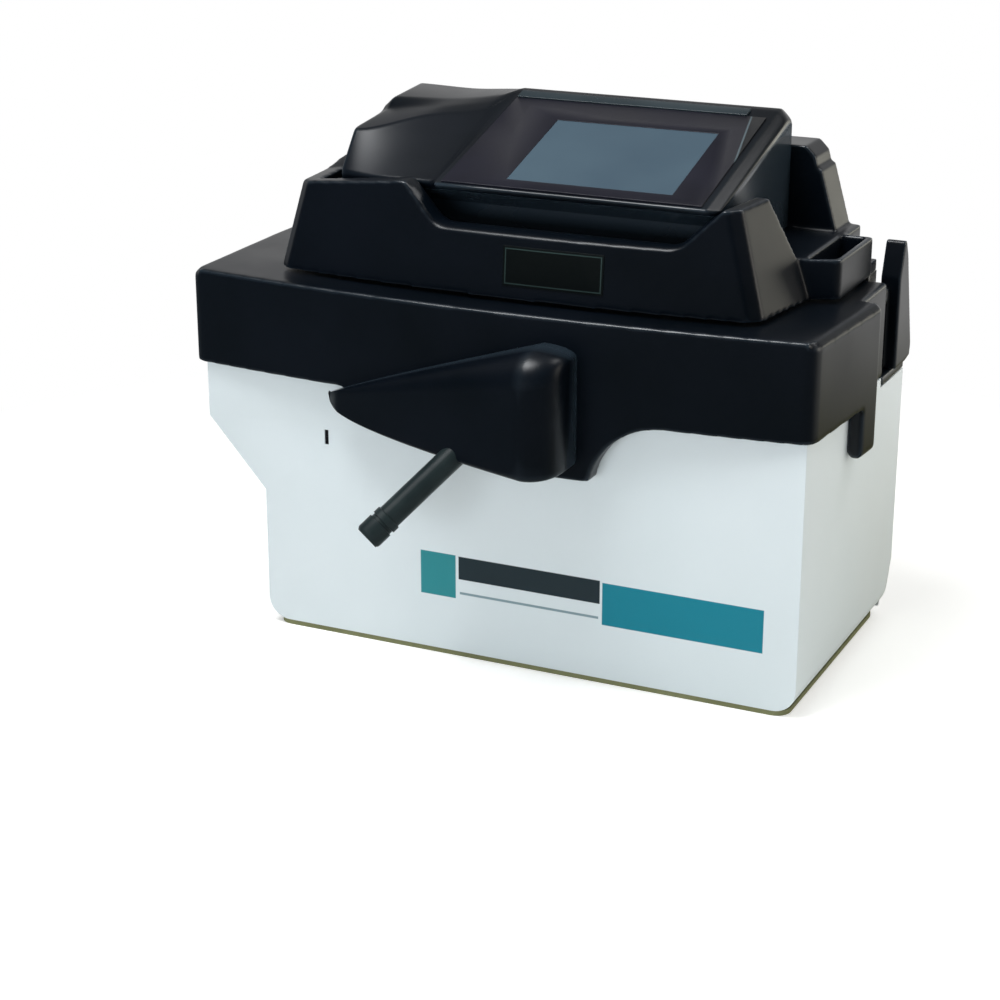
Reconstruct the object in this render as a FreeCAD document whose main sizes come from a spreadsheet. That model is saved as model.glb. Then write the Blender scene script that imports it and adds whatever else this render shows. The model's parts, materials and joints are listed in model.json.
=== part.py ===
import FreeCAD
import Part
import Sketcher
import math
import os

# Bench cryogenic grinding mill, in millimetres.
# Every piece is drawn in the housing's frame: X to the right, Y to the back from the housing's front
# face, Z up from the housing's bottom edge. The pieces are then moved together, so that the origin
# lies on the bench under the middle of the whole mill.

sizes = {
    # White housing
    "body_width": 500,
    "body_depth": 246,
    "shell_wall": 3.5,
    "shell_corner": 18,
    "recess_width": 50,
    "recess_low": 110,
    "recess_high": 166,
    "rim_inset": 3,
    "rear_height": 203,
    "rear_cover_thickness": 8,
    "heel_depth": 18,
    "heel_height": 40,
    "lamp_centre": 107.4,
    "lamp_bottom": 156,
    "lamp_height": 12,
    "lamp_width": 3.4,
    "lamp_depth": 2,
    # Base
    "foot_height": 4,
    "foot_width": 26,
    "foot_inset": 44,
    "plate_thickness": 1.5,
    "plate_inset": 12,
    # Black deck that caps the housing
    "skirt_bottom": 211,
    "deck_height": 76,
    "deck_plate": 8,
    "deck_reach": 3,
    "deck_bow": 17,
    "deck_front_flare": 5,
    "deck_left_flare": 10,
    "deck_flare": 14,
    "deck_side_depth": 126,
    "deck_depth": 186,
    "deck_back_wall": 3,
    "deck_front_round": 12,
    "deck_edge_bevel": 5,
    "bib_drop": 47,
    "bib_left": 120,
    "bib_middle": 30,
    "bib_low_left": 40,
    "bib_right": 88,
    "bib_arc_width": 59,
    "bib_arc_rise": 14,
    "tongue_front": 98,
    "tongue_drop": 40,
    "tongue_round": 6,
    # Teardrop cover on the front, and the vent tube that leaves it
    "nose_left": 130,
    "nose_right": 79,
    "nose_low": 173,
    "nose_height": 95,
    "nose_reach": 45,
    "nose_tip": 205,
    "nose_end_round": 26,
    "vent_start_depth": 38,
    "vent_start_height": 190,
    "vent_length": 104,
    "vent_radius": 9.5,
    "vent_bore_radius": 7,
    "vent_clearance": 0.1,
    "vent_tilt": 50.6,
    "vent_swing": 44,
    "sleeve_length": 23,
    "sleeve_wall": 1.2,
    # Insulated tub
    "tub_half_width": 120,
    "tub_front": 45,
    "tub_back": 168,
    "tub_floor": 130,
    "liner_wall": 1.5,
    "liner_flange": 11,
    "foam_side": 30,
    "foam_end": 13,
    "foam_floor": 30,
    "gasket_width": 8,
    "gasket_clearance": 0.3,
    "sensor_radius": 4,
    "sensor_height": 96,
    "sensor_inset": 12,
    # Hinge
    "hinge_back": 200,
    "hinge_drop": 15,
    "pin_radius": 5,
    "pin_clearance": 0.05,
    "pin_proud": 2,
    "arm_radius": 10,
    "arm_thickness": 12,
    "arm_outer": 234,
    "post_inner": 237.5,
    "post_thickness": 16,
    "post_front": 210,
    "post_depth": 42,
    "post_height": 101,
    "post_foot_width": 26,
    "post_foot_height": 7,
    "post_round": 3,
    "fin_thickness": 6,
    "fin_radius": 10,
    "fin_foot": 14,
    # Lid
    "lid_gap": 3,
    "lid_shift": 6,
    "lid_half_base": 199,
    "lid_half_top": 178,
    "lid_front": 17,
    "lid_front_lean": 6,
    "lid_bow": 11,
    "lid_flare": 10,
    "lid_flare_top": 8,
    "lid_flare_depth": 100,
    "lid_back": 226,
    "parapet_height": 79,
    "parapet_fall": 11,
    "parapet_wall": 11,
    "lid_floor_top": 32,
    "lid_floor": 8,
    "lid_skin": 6,
    "grip_height": 47,
    "grip_left": 92,
    "grip_left_low": 29,
    "grip_right_low": 33,
    "grip_right": 9,
    "slope_front": 75,
    "slope_back": 97,
    "wing_outer": 236,
    "wing_height": 31,
    "wing_sweep": 8,
    "wing_rim": 5,
    "wing_corner": 4,
    "wing_pocket": 20,
    "wing_tuck": 8,
    "hump_front": 189,
    "hump_height": 96,
    "hump_half_width": 181,
    "hump_spread": 10,
    "hump_round": 8,
    "flange_thickness": 9,
    "lid_corner": 9,
    "plug_clearance": 6,
    "plug_drop": 27,
    # Console on the lid. Its ends are measured from the lid's walls and its panel from the screen.
    "pod_front": 4,
    "pod_back": 2,
    "pod_left": 12,
    "pod_tip": 9,
    "pod_crease": 2.5,
    "panel_left": 10,
    "panel_right": 4,
    "pod_cheek": 5,
    "pod_right": 5,
    "pod_rise": 94,
    "pod_wall": 8,
    "bezel_margin": 3,
    "bezel_thickness": 1.4,
    "screen_width": 132,
    "screen_length": 98,
    "screen_left": 52,
    "screen_right": 30,
    "screen_up": 15,
    "screen_sink": 0.4,
    "trim_width": 11,
    "trim_height": 2,
    "trim_gap": 1,
    "trim_back": 3,
    "trim_right": 19,
    "label_right": 118,
    "label_width": 80,
    "label_height": 30,
    "label_rise": 10,
    "label_thickness": 0.5,
    "label_clearance": 0.05,
    "board_thickness": 1.6,
    # Coil that shakes the vial, hung under the lid
    "coil_depth": 110,
    "coil_drop": 72,
    "vial_radius": 12.7,
    "vial_clearance": 0.3,
    "former_wall": 3.5,
    "former_half_length": 76,
    "winding_radius": 36,
    "winding_half_length": 60,
    "end_plate_thickness": 8,
    "end_plate_half_width": 38,
    "tie_radius": 3,
    "tie_offset": 31,
    "latch_thickness": 4,
    "latch_gap": 0.5,
    "latch_radius": 17,
    "latch_offset": 27,
    "latch_pin_radius": 3,
    "latch_head_radius": 5,
    "latch_head_length": 3,
    # Electrical pieces
    "inlet_width": 28,
    "inlet_height": 21,
    "inlet_depth": 22,
    "inlet_wall": 2,
    "inlet_flange": 3,
    "inlet_flange_thickness": 3,
    "inlet_centre": 170,
    "inlet_level": 8.5,
    "blade_length": 14,
    "blade_width": 4,
    "blade_thickness": 2,
    "switch_gap": 50,
    "rocker_width": 13,
    "rocker_height": 19,
    "rocker_depth": 9,
    "rocker_clearance": 0.4,
    "fuse_radius": 7,
    "fuse_flange_half": 10,
    "fuse_length": 30,
    "fuse_cap_length": 8,
    "fuse_gap": 95,
    "louvre_count": 9,
    "louvre_pitch": 12,
    "louvre_width": 110,
    "louvre_height": 4,
    "louvre_bottom": 65,
    "supply_width": 62,
    "supply_depth": 110,
    "supply_height": 100,
    "supply_front": 60,
    "supply_gap": 6,
    "capacitor_radius": 17,
    "capacitor_height": 72,
    "capacitor_pitch": 42,
    "capacitor_front": 70,
    "capacitor_count": 2,
    "rack_thickness": 4,
    "card_width": 220,
    "card_depth": 140,
    "card_front": 50,
    "card_height": 10,
    "standoff_radius": 4,
    "standoff_inset": 8,
    # Allowances
    "overrun": 2,
    "slack": 0.05,
    # Where the origin lies behind the housing's front face
    "origin_back": 73.78,
}

doc = FreeCAD.newDocument("LabMill")
sheet = doc.addObject("Spreadsheet::Sheet", "Sizes")
for row, (name, value) in enumerate(sizes.items(), 1):
    sheet.set(f"A{row}", name)
    sheet.set(f"B{row}", str(value))
    sheet.setAlias(f"B{row}", name)
doc.recompute()


class Length:
    # A value together with the sheet expression that gives it, so that a sum of lengths stays bound.

    def __init__(self, value, text):
        self.value = value
        self.text = text

    def __add__(self, other):
        return Length(self.value + value_of(other), f"({self.text} + {text_of(other)})")

    def __radd__(self, other):
        return Length(value_of(other) + self.value, f"({text_of(other)} + {self.text})")

    def __sub__(self, other):
        return Length(self.value - value_of(other), f"({self.text} - {text_of(other)})")

    def __rsub__(self, other):
        return Length(value_of(other) - self.value, f"({text_of(other)} - {self.text})")

    def __mul__(self, other):
        return Length(self.value * value_of(other), f"({self.text} * {text_of(other)})")

    __rmul__ = __mul__

    def __truediv__(self, other):
        return Length(self.value / value_of(other), f"({self.text} / {text_of(other)})")

    def __neg__(self):
        return Length(-self.value, f"(0 - {self.text})")


def value_of(length):
    return length.value if isinstance(length, Length) else length


def text_of(length):
    return length.text if isinstance(length, Length) else repr(length)


def long_side(across, up):
    return Length(math.hypot(across.value, up.value), f"sqrt({(across * across + up * up).text})")


def slope_angle(across, up):
    return Length(math.degrees(math.atan2(up.value, across.value)), f"atan({up.text} / {across.text})")


class SizeTable:
    # Reads a named value of the sheet as a bound length.

    def __getattr__(self, name):
        return Length(sizes[name], f"Sizes.{name}")


size = SizeTable()
places = {}
pieces = []


def bind(thing, name, length):
    thing.setExpression(name, text_of(length))


def place(thing, x, y, z):
    places[thing.Name] = (x, y, z)
    bind(thing, "Placement.Base.x", x)
    bind(thing, "Placement.Base.y", y)
    bind(thing, "Placement.Base.z", z)


# One finished piece: its label names its file, and it moves with the others to the mill's own origin.
def keep(thing, label):
    x, y, z = places.get(thing.Name, (0, 0, 0))
    place(thing, x, y - size.origin_back, z + size.foot_height)
    thing.Label = label
    pieces.append(thing)
    return thing


# Sketches and the features drawn from them


def new_body(name):
    return doc.addObject("PartDesign::Body", name)


def attach(body, plane, station):
    sketch = body.newObject("Sketcher::SketchObject", body.Name + "Sketch")
    origin_plane = [feature for feature in body.Origin.OriginFeatures if feature.Role == plane][0]
    sketch.AttachmentSupport = [(origin_plane, "")]
    sketch.MapMode = "FlatFace"
    bind(sketch, "AttachmentOffset.Base.z", -station if plane == "XZ_Plane" else station)
    return sketch


def hold(sketch, kind, geometry, end, length):
    if isinstance(length, Length):
        index = sketch.addConstraint(Sketcher.Constraint(kind, geometry, end, float(length.value)))
        sketch.setExpression(f"Constraints[{index}]", length.text)
    else:
        sketch.addConstraint(Sketcher.Constraint(kind, geometry, end, float(length)))


# A closed outline. Each corner is (across, up), or (across, up, rise) where the side that starts there
# is an arc that rises that far to the right of the way drawn.
def draw(sketch, corners):
    count = len(corners)
    first = sketch.GeometryCount
    starts = []
    ends = []
    for number in range(count):
        corner = corners[number]
        follow = corners[(number + 1) % count]
        begin = FreeCAD.Vector(value_of(corner[0]), value_of(corner[1]), 0)
        finish = FreeCAD.Vector(value_of(follow[0]), value_of(follow[1]), 0)
        if len(corner) == 2:
            sketch.addGeometry(Part.LineSegment(begin, finish), False)
            starts.append(1)
            ends.append(2)
            continue
        rise = corner[2]
        along = finish.sub(begin)
        right = FreeCAD.Vector(along.y, -along.x, 0).normalize()
        middle = begin.add(finish).multiply(0.5).add(right.multiply(rise.value))
        arc = sketch.addGeometry(Part.Arc(begin, middle, finish), False)
        first_gap = sketch.getPoint(arc, 1).distanceToPoint(begin)
        forward = first_gap < sketch.getPoint(arc, 2).distanceToPoint(begin)
        starts.append(1 if forward else 2)
        ends.append(2 if forward else 1)
    for number in range(count):
        follow = (number + 1) % count
        sketch.addConstraint(
            Sketcher.Constraint("Coincident", first + number, ends[number], first + follow, starts[follow])
        )
    for number, corner in enumerate(corners):
        hold(sketch, "DistanceX", first + number, starts[number], corner[0])
        hold(sketch, "DistanceY", first + number, starts[number], corner[1])
        if len(corner) == 3:
            across = corners[(number + 1) % count][0] - corner[0]
            up = corners[(number + 1) % count][1] - corner[1]
            rise = corner[2] if corner[2].value > 0 else -corner[2]
            chord = math.hypot(value_of(across), value_of(up))
            if abs(chord - rise.value * 2) < size.slack.value:
                # A half circle is held by its middle, since its radius alone can't hold it.
                level = abs(value_of(across)) > abs(value_of(up))
                kind = "DistanceY" if level else "DistanceX"
                hold(sketch, kind, first + number, 3, corner[1 if level else 0])
                continue
            radius = ((across * across + up * up) / 4 + rise * rise) / (rise * 2)
            index = sketch.addConstraint(Sketcher.Constraint("Radius", first + number, radius.value))
            sketch.setExpression(f"Constraints[{index}]", radius.text)


def ring(sketch, across, up, radius):
    centre = FreeCAD.Vector(value_of(across), value_of(up), 0)
    circle = sketch.addGeometry(Part.Circle(centre, FreeCAD.Vector(0, 0, 1), radius.value), False)
    hold(sketch, "DistanceX", circle, 3, across)
    hold(sketch, "DistanceY", circle, 3, up)
    index = sketch.addConstraint(Sketcher.Constraint("Radius", circle, radius.value))
    sketch.setExpression(f"Constraints[{index}]", radius.text)


# Material added between two stations along the plane's own axis
def add_slab(body, plane, corners, start, end):
    sketch = attach(body, plane, end if plane == "XZ_Plane" else start)
    draw(sketch, corners)
    pad = body.newObject("PartDesign::Pad", body.Name + "Pad")
    pad.Profile = sketch
    bind(pad, "Length", end - start)
    return pad


# Material taken away between two stations
def take_slab(body, plane, corners, start, end):
    sketch = attach(body, plane, start if plane == "XZ_Plane" else end)
    draw(sketch, corners)
    pocket = body.newObject("PartDesign::Pocket", body.Name + "Pocket")
    pocket.Profile = sketch
    bind(pocket, "Length", end - start)
    return pocket


def take_hole(body, plane, across, up, radius, start, end):
    sketch = attach(body, plane, start if plane == "XZ_Plane" else end)
    ring(sketch, across, up, radius)
    pocket = body.newObject("PartDesign::Pocket", body.Name + "Hole")
    pocket.Profile = sketch
    bind(pocket, "Length", end - start)
    return pocket


def add_loft(body, plane, sections, straight):
    sketches = []
    for station, corners in sections:
        sketch = attach(body, plane, station)
        draw(sketch, corners)
        sketches.append(sketch)
    loft = body.newObject("PartDesign::AdditiveLoft", body.Name + "Loft")
    loft.Profile = sketches[0]
    loft.Sections = sketches[1:]
    loft.Ruled = straight
    return loft


# True for an edge that lies wholly between the given limits along the named axes
def lies_in(edge, **limits):
    box = edge.BoundBox
    spans = {"x": (box.XMin, box.XMax), "y": (box.YMin, box.YMax), "z": (box.ZMin, box.ZMax)}
    slack = size.slack.value
    for axis, (low, high) in limits.items():
        if spans[axis][0] < value_of(low) - slack or spans[axis][1] > value_of(high) + slack:
            return False
    return True


def soften_edges(body, kind, setting, width, wanted):
    doc.recompute()
    base = body.Tip
    names = [f"Edge{number}" for number, edge in enumerate(base.Shape.Edges, 1) if wanted(edge)]
    softened = body.newObject(kind, body.Name + "Soft")
    softened.Base = (base, names)
    bind(softened, setting, width)
    return softened


def round_edges(body, radius, wanted):
    return soften_edges(body, "PartDesign::Fillet", "Radius", radius, wanted)


def bevel_edges(body, width, wanted):
    return soften_edges(body, "PartDesign::Chamfer", "Size", width, wanted)


def upright(edge, x, y):
    return lies_in(edge, x=(x, x), y=(y, y))


# Plain solids and their combinations


def block(name, low, high):
    box = doc.addObject("Part::Box", name)
    bind(box, "Length", high[0] - low[0])
    bind(box, "Width", high[1] - low[1])
    bind(box, "Height", high[2] - low[2])
    place(box, *low)
    return box


directions = {"X": FreeCAD.Vector(1, 0, 0), "Y": FreeCAD.Vector(0, 1, 0), "Z": FreeCAD.Vector(0, 0, 1)}


def rod(name, radius, start, length, axis):
    cylinder = doc.addObject("Part::Cylinder", name)
    turn = FreeCAD.Rotation(directions["Z"], directions[axis])
    cylinder.Placement = FreeCAD.Placement(FreeCAD.Vector(0, 0, 0), turn)
    bind(cylinder, "Radius", radius)
    bind(cylinder, "Height", length)
    place(cylinder, *start)
    return cylinder


def cut(name, base, tool):
    result = doc.addObject("Part::Cut", name)
    result.Base = base
    result.Tool = tool
    return result


def join(name, shapes):
    result = doc.addObject("Part::MultiFuse", name)
    result.Shapes = shapes
    return result


# Levels and places that several pieces share

half_body = size.body_width / 2
deck_top = size.skirt_bottom + size.deck_height
plate_under = deck_top - size.deck_plate
lid_base = deck_top + size.lid_gap
hinge_level = deck_top - size.hinge_drop
deck_front = -(size.deck_reach + size.deck_bow)
cover_top = size.rear_height + size.rear_cover_thickness
rim_back = size.deck_depth - size.deck_back_wall
parapet_top = lid_base + size.parapet_height
floor_top = lid_base + size.lid_floor_top
coil_level = deck_top - size.coil_drop
half_rim = half_body - size.rim_inset
low_left = half_body - size.recess_width
past = size.overrun


# White housing shell: a tray with a front, two sides and a floor, stepped in at the left and cut off
# low at the back, whose thinner rim stands inside the deck.

shell = new_body("HousingShell")
add_slab(shell, "XZ_Plane", [
    (-low_left, 0),
    (half_body, 0),
    (half_body, size.skirt_bottom),
    (half_rim, size.skirt_bottom),
    (half_rim, plate_under),
    (-half_rim, plate_under),
    (-half_rim, size.skirt_bottom),
    (-half_body, size.skirt_bottom),
    (-half_body, size.recess_high),
    (-low_left, size.recess_low),
], 0, size.body_depth)
round_edges(shell, size.shell_corner, lambda edge: lies_in(edge, z=(0, 0)) and (
    lies_in(edge, x=(half_body, half_body)) or lies_in(edge, x=(-low_left, -low_left))
))
wall = size.shell_wall
take_slab(shell, "XZ_Plane", [
    (-low_left + wall, wall),
    (half_body - wall, wall),
    (half_body - wall, size.skirt_bottom - wall),
    (half_rim - wall, size.skirt_bottom - wall),
    (half_rim - wall, plate_under + past),
    (-half_rim + wall, plate_under + past),
    (-half_rim + wall, size.skirt_bottom - wall),
    (-half_body + wall, size.skirt_bottom - wall),
    (-half_body + wall, size.recess_high + wall / 2),
    (-low_left + wall, size.recess_low + wall / 2),
], wall, size.body_depth + past)
take_slab(shell, "YZ_Plane", [
    (rim_back, size.rear_height),
    (size.body_depth + past, size.rear_height),
    (size.body_depth + past, plate_under + past),
    (rim_back, plate_under + past),
], -half_body - past, half_body + past)
take_slab(shell, "YZ_Plane", [
    (size.body_depth - size.heel_depth, 0),
    (size.body_depth, size.heel_height),
    (size.body_depth + past, size.heel_height),
    (size.body_depth + past, 0),
], -half_body - past, half_body + past)
lamp_left = size.lamp_centre - half_body - size.lamp_width / 2
lamp_right = lamp_left + size.lamp_width
lamp_top = size.lamp_bottom + size.lamp_height
take_slab(shell, "XZ_Plane", [
    (lamp_left, size.lamp_bottom),
    (lamp_right, size.lamp_bottom),
    (lamp_right, lamp_top),
    (lamp_left, lamp_top),
], 0, size.lamp_depth)
keep(shell, "housing_shell")

lamp = block(
    "StatusLamp",
    (lamp_left, size.lamp_depth / 2, size.lamp_bottom),
    (lamp_right, size.lamp_depth, lamp_top),
)
keep(lamp, "status_lamp")

# Base plate under the shell, and the four feet under the plate

plate_back = size.body_depth - size.heel_depth
base_plate = block(
    "BasePlate",
    (-low_left + size.plate_inset, size.plate_inset, -size.plate_thickness),
    (half_body - size.plate_inset, plate_back - size.plate_inset, 0),
)
keep(base_plate, "base_plate")

foot_rise = size.foot_height - size.plate_thickness
foot_places = {
    "foot_front_left": (-low_left + size.foot_inset, size.foot_inset),
    "foot_front_right": (half_body - size.foot_inset, size.foot_inset),
    "foot_rear_left": (-low_left + size.foot_inset, plate_back - size.foot_inset),
    "foot_rear_right": (half_body - size.foot_inset, plate_back - size.foot_inset),
}
for foot_name, (foot_x, foot_y) in foot_places.items():
    foot = block(
        foot_name,
        (foot_x - size.foot_width / 2, foot_y - size.foot_width / 2, -size.foot_height),
        (foot_x + size.foot_width / 2, foot_y + size.foot_width / 2, foot_rise - size.foot_height),
    )
    keep(foot, foot_name)

# Rear panel: a folded sheet that follows the shell's back and its slanted heel

panel_in = size.shell_wall
rear_panel = new_body("RearPanel")
half_panel = half_body - size.shell_wall
add_slab(rear_panel, "YZ_Plane", [
    (size.body_depth - size.heel_depth - panel_in, size.shell_wall),
    (size.body_depth - size.heel_depth, size.shell_wall),
    (size.body_depth - panel_in / 2, size.heel_height),
    (size.body_depth - panel_in / 2, size.rear_height),
    (size.body_depth - panel_in * 3 / 2, size.rear_height),
    (size.body_depth - panel_in * 3 / 2, size.heel_height),
], -half_panel, half_panel)
step_level = size.skirt_bottom - wall
take_slab(rear_panel, "XZ_Plane", [
    (-half_panel - past, 0),
    (-low_left + wall, 0),
    (-low_left + wall, size.recess_low + wall / 2),
    (-half_panel, size.recess_high + wall / 2),
    (-half_panel, step_level),
    (-half_rim + wall, step_level),
    (-half_rim + wall, plate_under),
    (-half_panel - past, plate_under),
], size.body_depth - size.heel_depth - panel_in * 2, size.body_depth)
take_slab(rear_panel, "XZ_Plane", [
    (half_panel + past, step_level),
    (half_panel + past, plate_under),
    (half_rim - wall, plate_under),
    (half_rim - wall, step_level),
], size.body_depth - size.heel_depth - panel_in * 2, size.body_depth)
panel_face = size.body_depth - panel_in / 2
panel_inside = size.body_depth - panel_in * 3 / 2
foam_bottom = size.tub_floor - size.liner_wall - size.foam_floor
rocker_sweep = long_side(size.rocker_depth / 2, size.rocker_height / 2)
frame_half_height = rocker_sweep + size.rocker_clearance + size.inlet_wall
socket_level = foam_bottom - frame_half_height - size.inlet_level
inlet_bottom = socket_level - size.inlet_height / 2
inlet_top = socket_level + size.inlet_height / 2
inlet_left = size.inlet_centre - size.inlet_width / 2
inlet_right = size.inlet_centre + size.inlet_width / 2
take_slab(rear_panel, "XZ_Plane", [
    (inlet_left, inlet_bottom),
    (inlet_right, inlet_bottom),
    (inlet_right, inlet_top),
    (inlet_left, inlet_top),
], panel_inside - past, panel_face + past)
switch_centre = size.inlet_centre - size.switch_gap
half_rocker = size.rocker_width / 2 + size.rocker_clearance
frame_half_width = half_rocker + size.inlet_wall
take_slab(rear_panel, "XZ_Plane", [
    (switch_centre - frame_half_width, socket_level - frame_half_height),
    (switch_centre + frame_half_width, socket_level - frame_half_height),
    (switch_centre + frame_half_width, socket_level + frame_half_height),
    (switch_centre - frame_half_width, socket_level + frame_half_height),
], panel_inside - past, panel_face + past)
fuse_centre = size.inlet_centre - size.fuse_gap
take_hole(
    rear_panel, "XZ_Plane", fuse_centre, socket_level, size.fuse_radius,
    panel_inside - past, panel_face + past,
)
louvre_right = -size.louvre_width / 4
louvre_left = louvre_right - size.louvre_width
louvre = take_slab(rear_panel, "XZ_Plane", [
    (louvre_left, size.louvre_bottom),
    (louvre_right, size.louvre_bottom),
    (louvre_right, size.louvre_bottom + size.louvre_height),
    (louvre_left, size.louvre_bottom + size.louvre_height),
], panel_inside - past, panel_face + past)
louvres = rear_panel.newObject("PartDesign::LinearPattern", "Louvres")
louvres.Originals = [louvre]
louvres.Direction = (louvre.Profile[0], ["V_Axis"])
bind(louvres, "Length", size.louvre_pitch * (size.louvre_count - 1))
bind(louvres, "Occurrences", size.louvre_count)
rear_panel.Tip = louvres
keep(rear_panel, "rear_panel")

# Power inlet: a socket with a flange outside the panel, three blades and an open mouth

flange_back = panel_face + size.inlet_flange_thickness
inlet_front = panel_face - size.inlet_depth
inlet_body = block(
    "InletBody", (inlet_left, inlet_front, inlet_bottom), (inlet_right, panel_face, inlet_top),
)
inlet_plate = block(
    "InletPlate",
    (inlet_left - size.inlet_flange, panel_face, inlet_bottom - size.inlet_flange),
    (inlet_right + size.inlet_flange, flange_back, inlet_top + size.inlet_flange),
)
inlet_mouth = block(
    "InletMouth",
    (inlet_left + size.inlet_wall, inlet_front + size.inlet_wall, inlet_bottom + size.inlet_wall),
    (inlet_right - size.inlet_wall, flange_back + past, inlet_top - size.inlet_wall),
)
inlet_socket = cut("InletSocket", join("InletSolid", [inlet_body, inlet_plate]), inlet_mouth)
blades = [inlet_socket]
blade_start = inlet_front + size.inlet_wall
for blade_side in (-1, 0, 1):
    blade_x = size.inlet_centre + size.inlet_width / 4 * blade_side - size.blade_thickness / 2
    blade_z = socket_level - size.blade_width / 2 + size.blade_thickness * (1 - abs(blade_side) * 2)
    blades.append(block(
        f"Blade{blade_side + 1}",
        (blade_x, blade_start, blade_z),
        (blade_x + size.blade_thickness, blade_start + size.blade_length, blade_z + size.blade_width),
    ))
keep(join("PowerInlet", blades), "power_inlet")

# Rocker switch: a frame in the panel, and a rocker that tips about its middle

frame_solid = block(
    "FrameSolid",
    (switch_centre - frame_half_width, panel_face - size.inlet_depth, socket_level - frame_half_height),
    (switch_centre + frame_half_width, panel_face, socket_level + frame_half_height),
)
frame_plate = block(
    "FramePlate",
    (
        switch_centre - frame_half_width - size.inlet_wall,
        panel_face,
        socket_level - frame_half_height - size.inlet_wall,
    ),
    (
        switch_centre + frame_half_width + size.inlet_wall,
        panel_face + size.inlet_wall,
        socket_level + frame_half_height + size.inlet_wall,
    ),
)
frame_well = block(
    "FrameWell",
    (switch_centre - half_rocker, panel_face - size.inlet_depth + size.inlet_wall,
     socket_level - frame_half_height + size.inlet_wall),
    (switch_centre + half_rocker, panel_face + past * 2, socket_level + frame_half_height - size.inlet_wall),
)
keep(cut("SwitchFrame", join("FrameOuter", [frame_solid, frame_plate]), frame_well), "switch_frame")

rocker = new_body("RockerSwitch")
rocker_axis_back = panel_face - size.rocker_depth / 2
half_high = size.rocker_height / 2
rocker_face = panel_face + size.rocker_depth / 4
add_slab(rocker, "YZ_Plane", [
    (rocker_axis_back, socket_level - half_high / 2, size.rocker_depth / 3),
    (rocker_axis_back, socket_level + half_high / 2),
    (panel_face, socket_level + half_high),
    (rocker_face, socket_level + half_high * 3 / 4),
    (panel_face, socket_level),
    (panel_face - size.rocker_depth / 6, socket_level - half_high),
], switch_centre - size.rocker_width / 2, switch_centre + size.rocker_width / 2)
keep(rocker, "rocker_switch")

# Fuse holder: a barrel through the panel, with a square flange outside

fuse_barrel = rod(
    "FuseBarrel", size.fuse_radius,
    (fuse_centre, panel_face - size.fuse_length, socket_level),
    size.fuse_length + size.fuse_cap_length, "Y",
)
fuse_flange = block(
    "FuseFlange",
    (fuse_centre - size.fuse_flange_half, panel_face, socket_level - size.fuse_flange_half),
    (
        fuse_centre + size.fuse_flange_half,
        panel_face + size.inlet_flange_thickness,
        socket_level + size.fuse_flange_half,
    ),
)
keep(join("FuseHolder", [fuse_barrel, fuse_flange]), "fuse_holder")

# Black deck: a collar with a bowed front, flared sides, a bib in the middle of the front and a tongue
# at the right, round the rim of the housing

bib_middle_share = 0.7
half_front = half_body + size.deck_front_flare
front_left = -half_body - size.deck_left_flare
half_flare = half_body + size.deck_flare
bib_bottom = size.skirt_bottom - size.bib_drop
side_front = -size.deck_reach
deck = new_body("Deck")
add_slab(deck, "XY_Plane", [
    (front_left, side_front, size.deck_bow),
    (half_front, side_front),
    (half_flare, size.deck_side_depth),
    (half_body, size.deck_side_depth),
    (half_body, size.deck_depth),
    (-half_flare, size.deck_depth),
    (-half_flare, size.deck_side_depth),
], bib_bottom, deck_top)
round_edges(deck, size.deck_front_round, lambda edge: upright(edge, half_front, side_front)
            or upright(edge, front_left, side_front))
bevel_edges(deck, size.deck_edge_bevel, lambda edge: lies_in(edge, z=(deck_top, deck_top))
            and not lies_in(edge, x=(0, half_flare), y=(size.deck_side_depth, size.deck_depth))
            and not lies_in(edge, y=(size.deck_depth, size.deck_depth)))
take_slab(deck, "XZ_Plane", [
    (-half_flare - past, bib_bottom - past),
    (size.bib_low_left, bib_bottom - past),
    (size.bib_low_left, bib_bottom),
    (-size.bib_middle, size.skirt_bottom - size.bib_drop * bib_middle_share),
    (-size.bib_left, size.skirt_bottom),
    (-half_flare - past, size.skirt_bottom),
], deck_front - past, size.deck_depth + past)
take_slab(deck, "XZ_Plane", [
    (half_flare + past, bib_bottom - past),
    (half_flare + past, size.skirt_bottom),
    (size.bib_right + size.bib_arc_width, size.skirt_bottom, size.bib_arc_rise),
    (size.bib_right, bib_bottom),
    (size.bib_right, bib_bottom - past),
], deck_front - past, size.deck_depth + past)
take_slab(deck, "XY_Plane", [
    (-half_rim, 0),
    (half_rim, 0),
    (half_rim, rim_back),
    (-half_rim, rim_back),
], bib_bottom - past, plate_under)
mouth_half = size.tub_half_width + size.liner_wall
mouth_front = size.tub_front - size.liner_wall
mouth_back = size.tub_back + size.liner_wall
take_slab(deck, "XY_Plane", [
    (-mouth_half, mouth_front),
    (mouth_half, mouth_front),
    (mouth_half, mouth_back),
    (-mouth_half, mouth_back),
], plate_under - past, deck_top + past)
tongue_bottom = size.skirt_bottom - size.tongue_drop
tongue_share = (size.tongue_front - side_front) / (size.deck_side_depth - side_front)
tongue_outer = half_front + (half_flare - half_front) * tongue_share
add_slab(deck, "XY_Plane", [
    (half_body, size.tongue_front),
    (tongue_outer, size.tongue_front),
    (half_flare, size.deck_side_depth),
    (half_body, size.deck_side_depth),
], tongue_bottom, size.skirt_bottom + past)
round_edges(deck, size.tongue_round, lambda edge: lies_in(
    edge, x=(half_body, half_flare), z=(tongue_bottom, tongue_bottom)
) and edge.BoundBox.YLength > size.tongue_round.value)
keep(deck, "deck")

# Cover over the low back of the housing, behind the deck

rear_cover = block(
    "RearCover",
    (-half_body, size.deck_depth, size.rear_height),
    (half_body, size.body_depth, cover_top),
)
keep(rear_cover, "rear_cover")

# Teardrop cover on the front of the deck, lofted through sections along X. It swells from its tip at
# the left and ends at the right in a rounded cheek.

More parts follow.
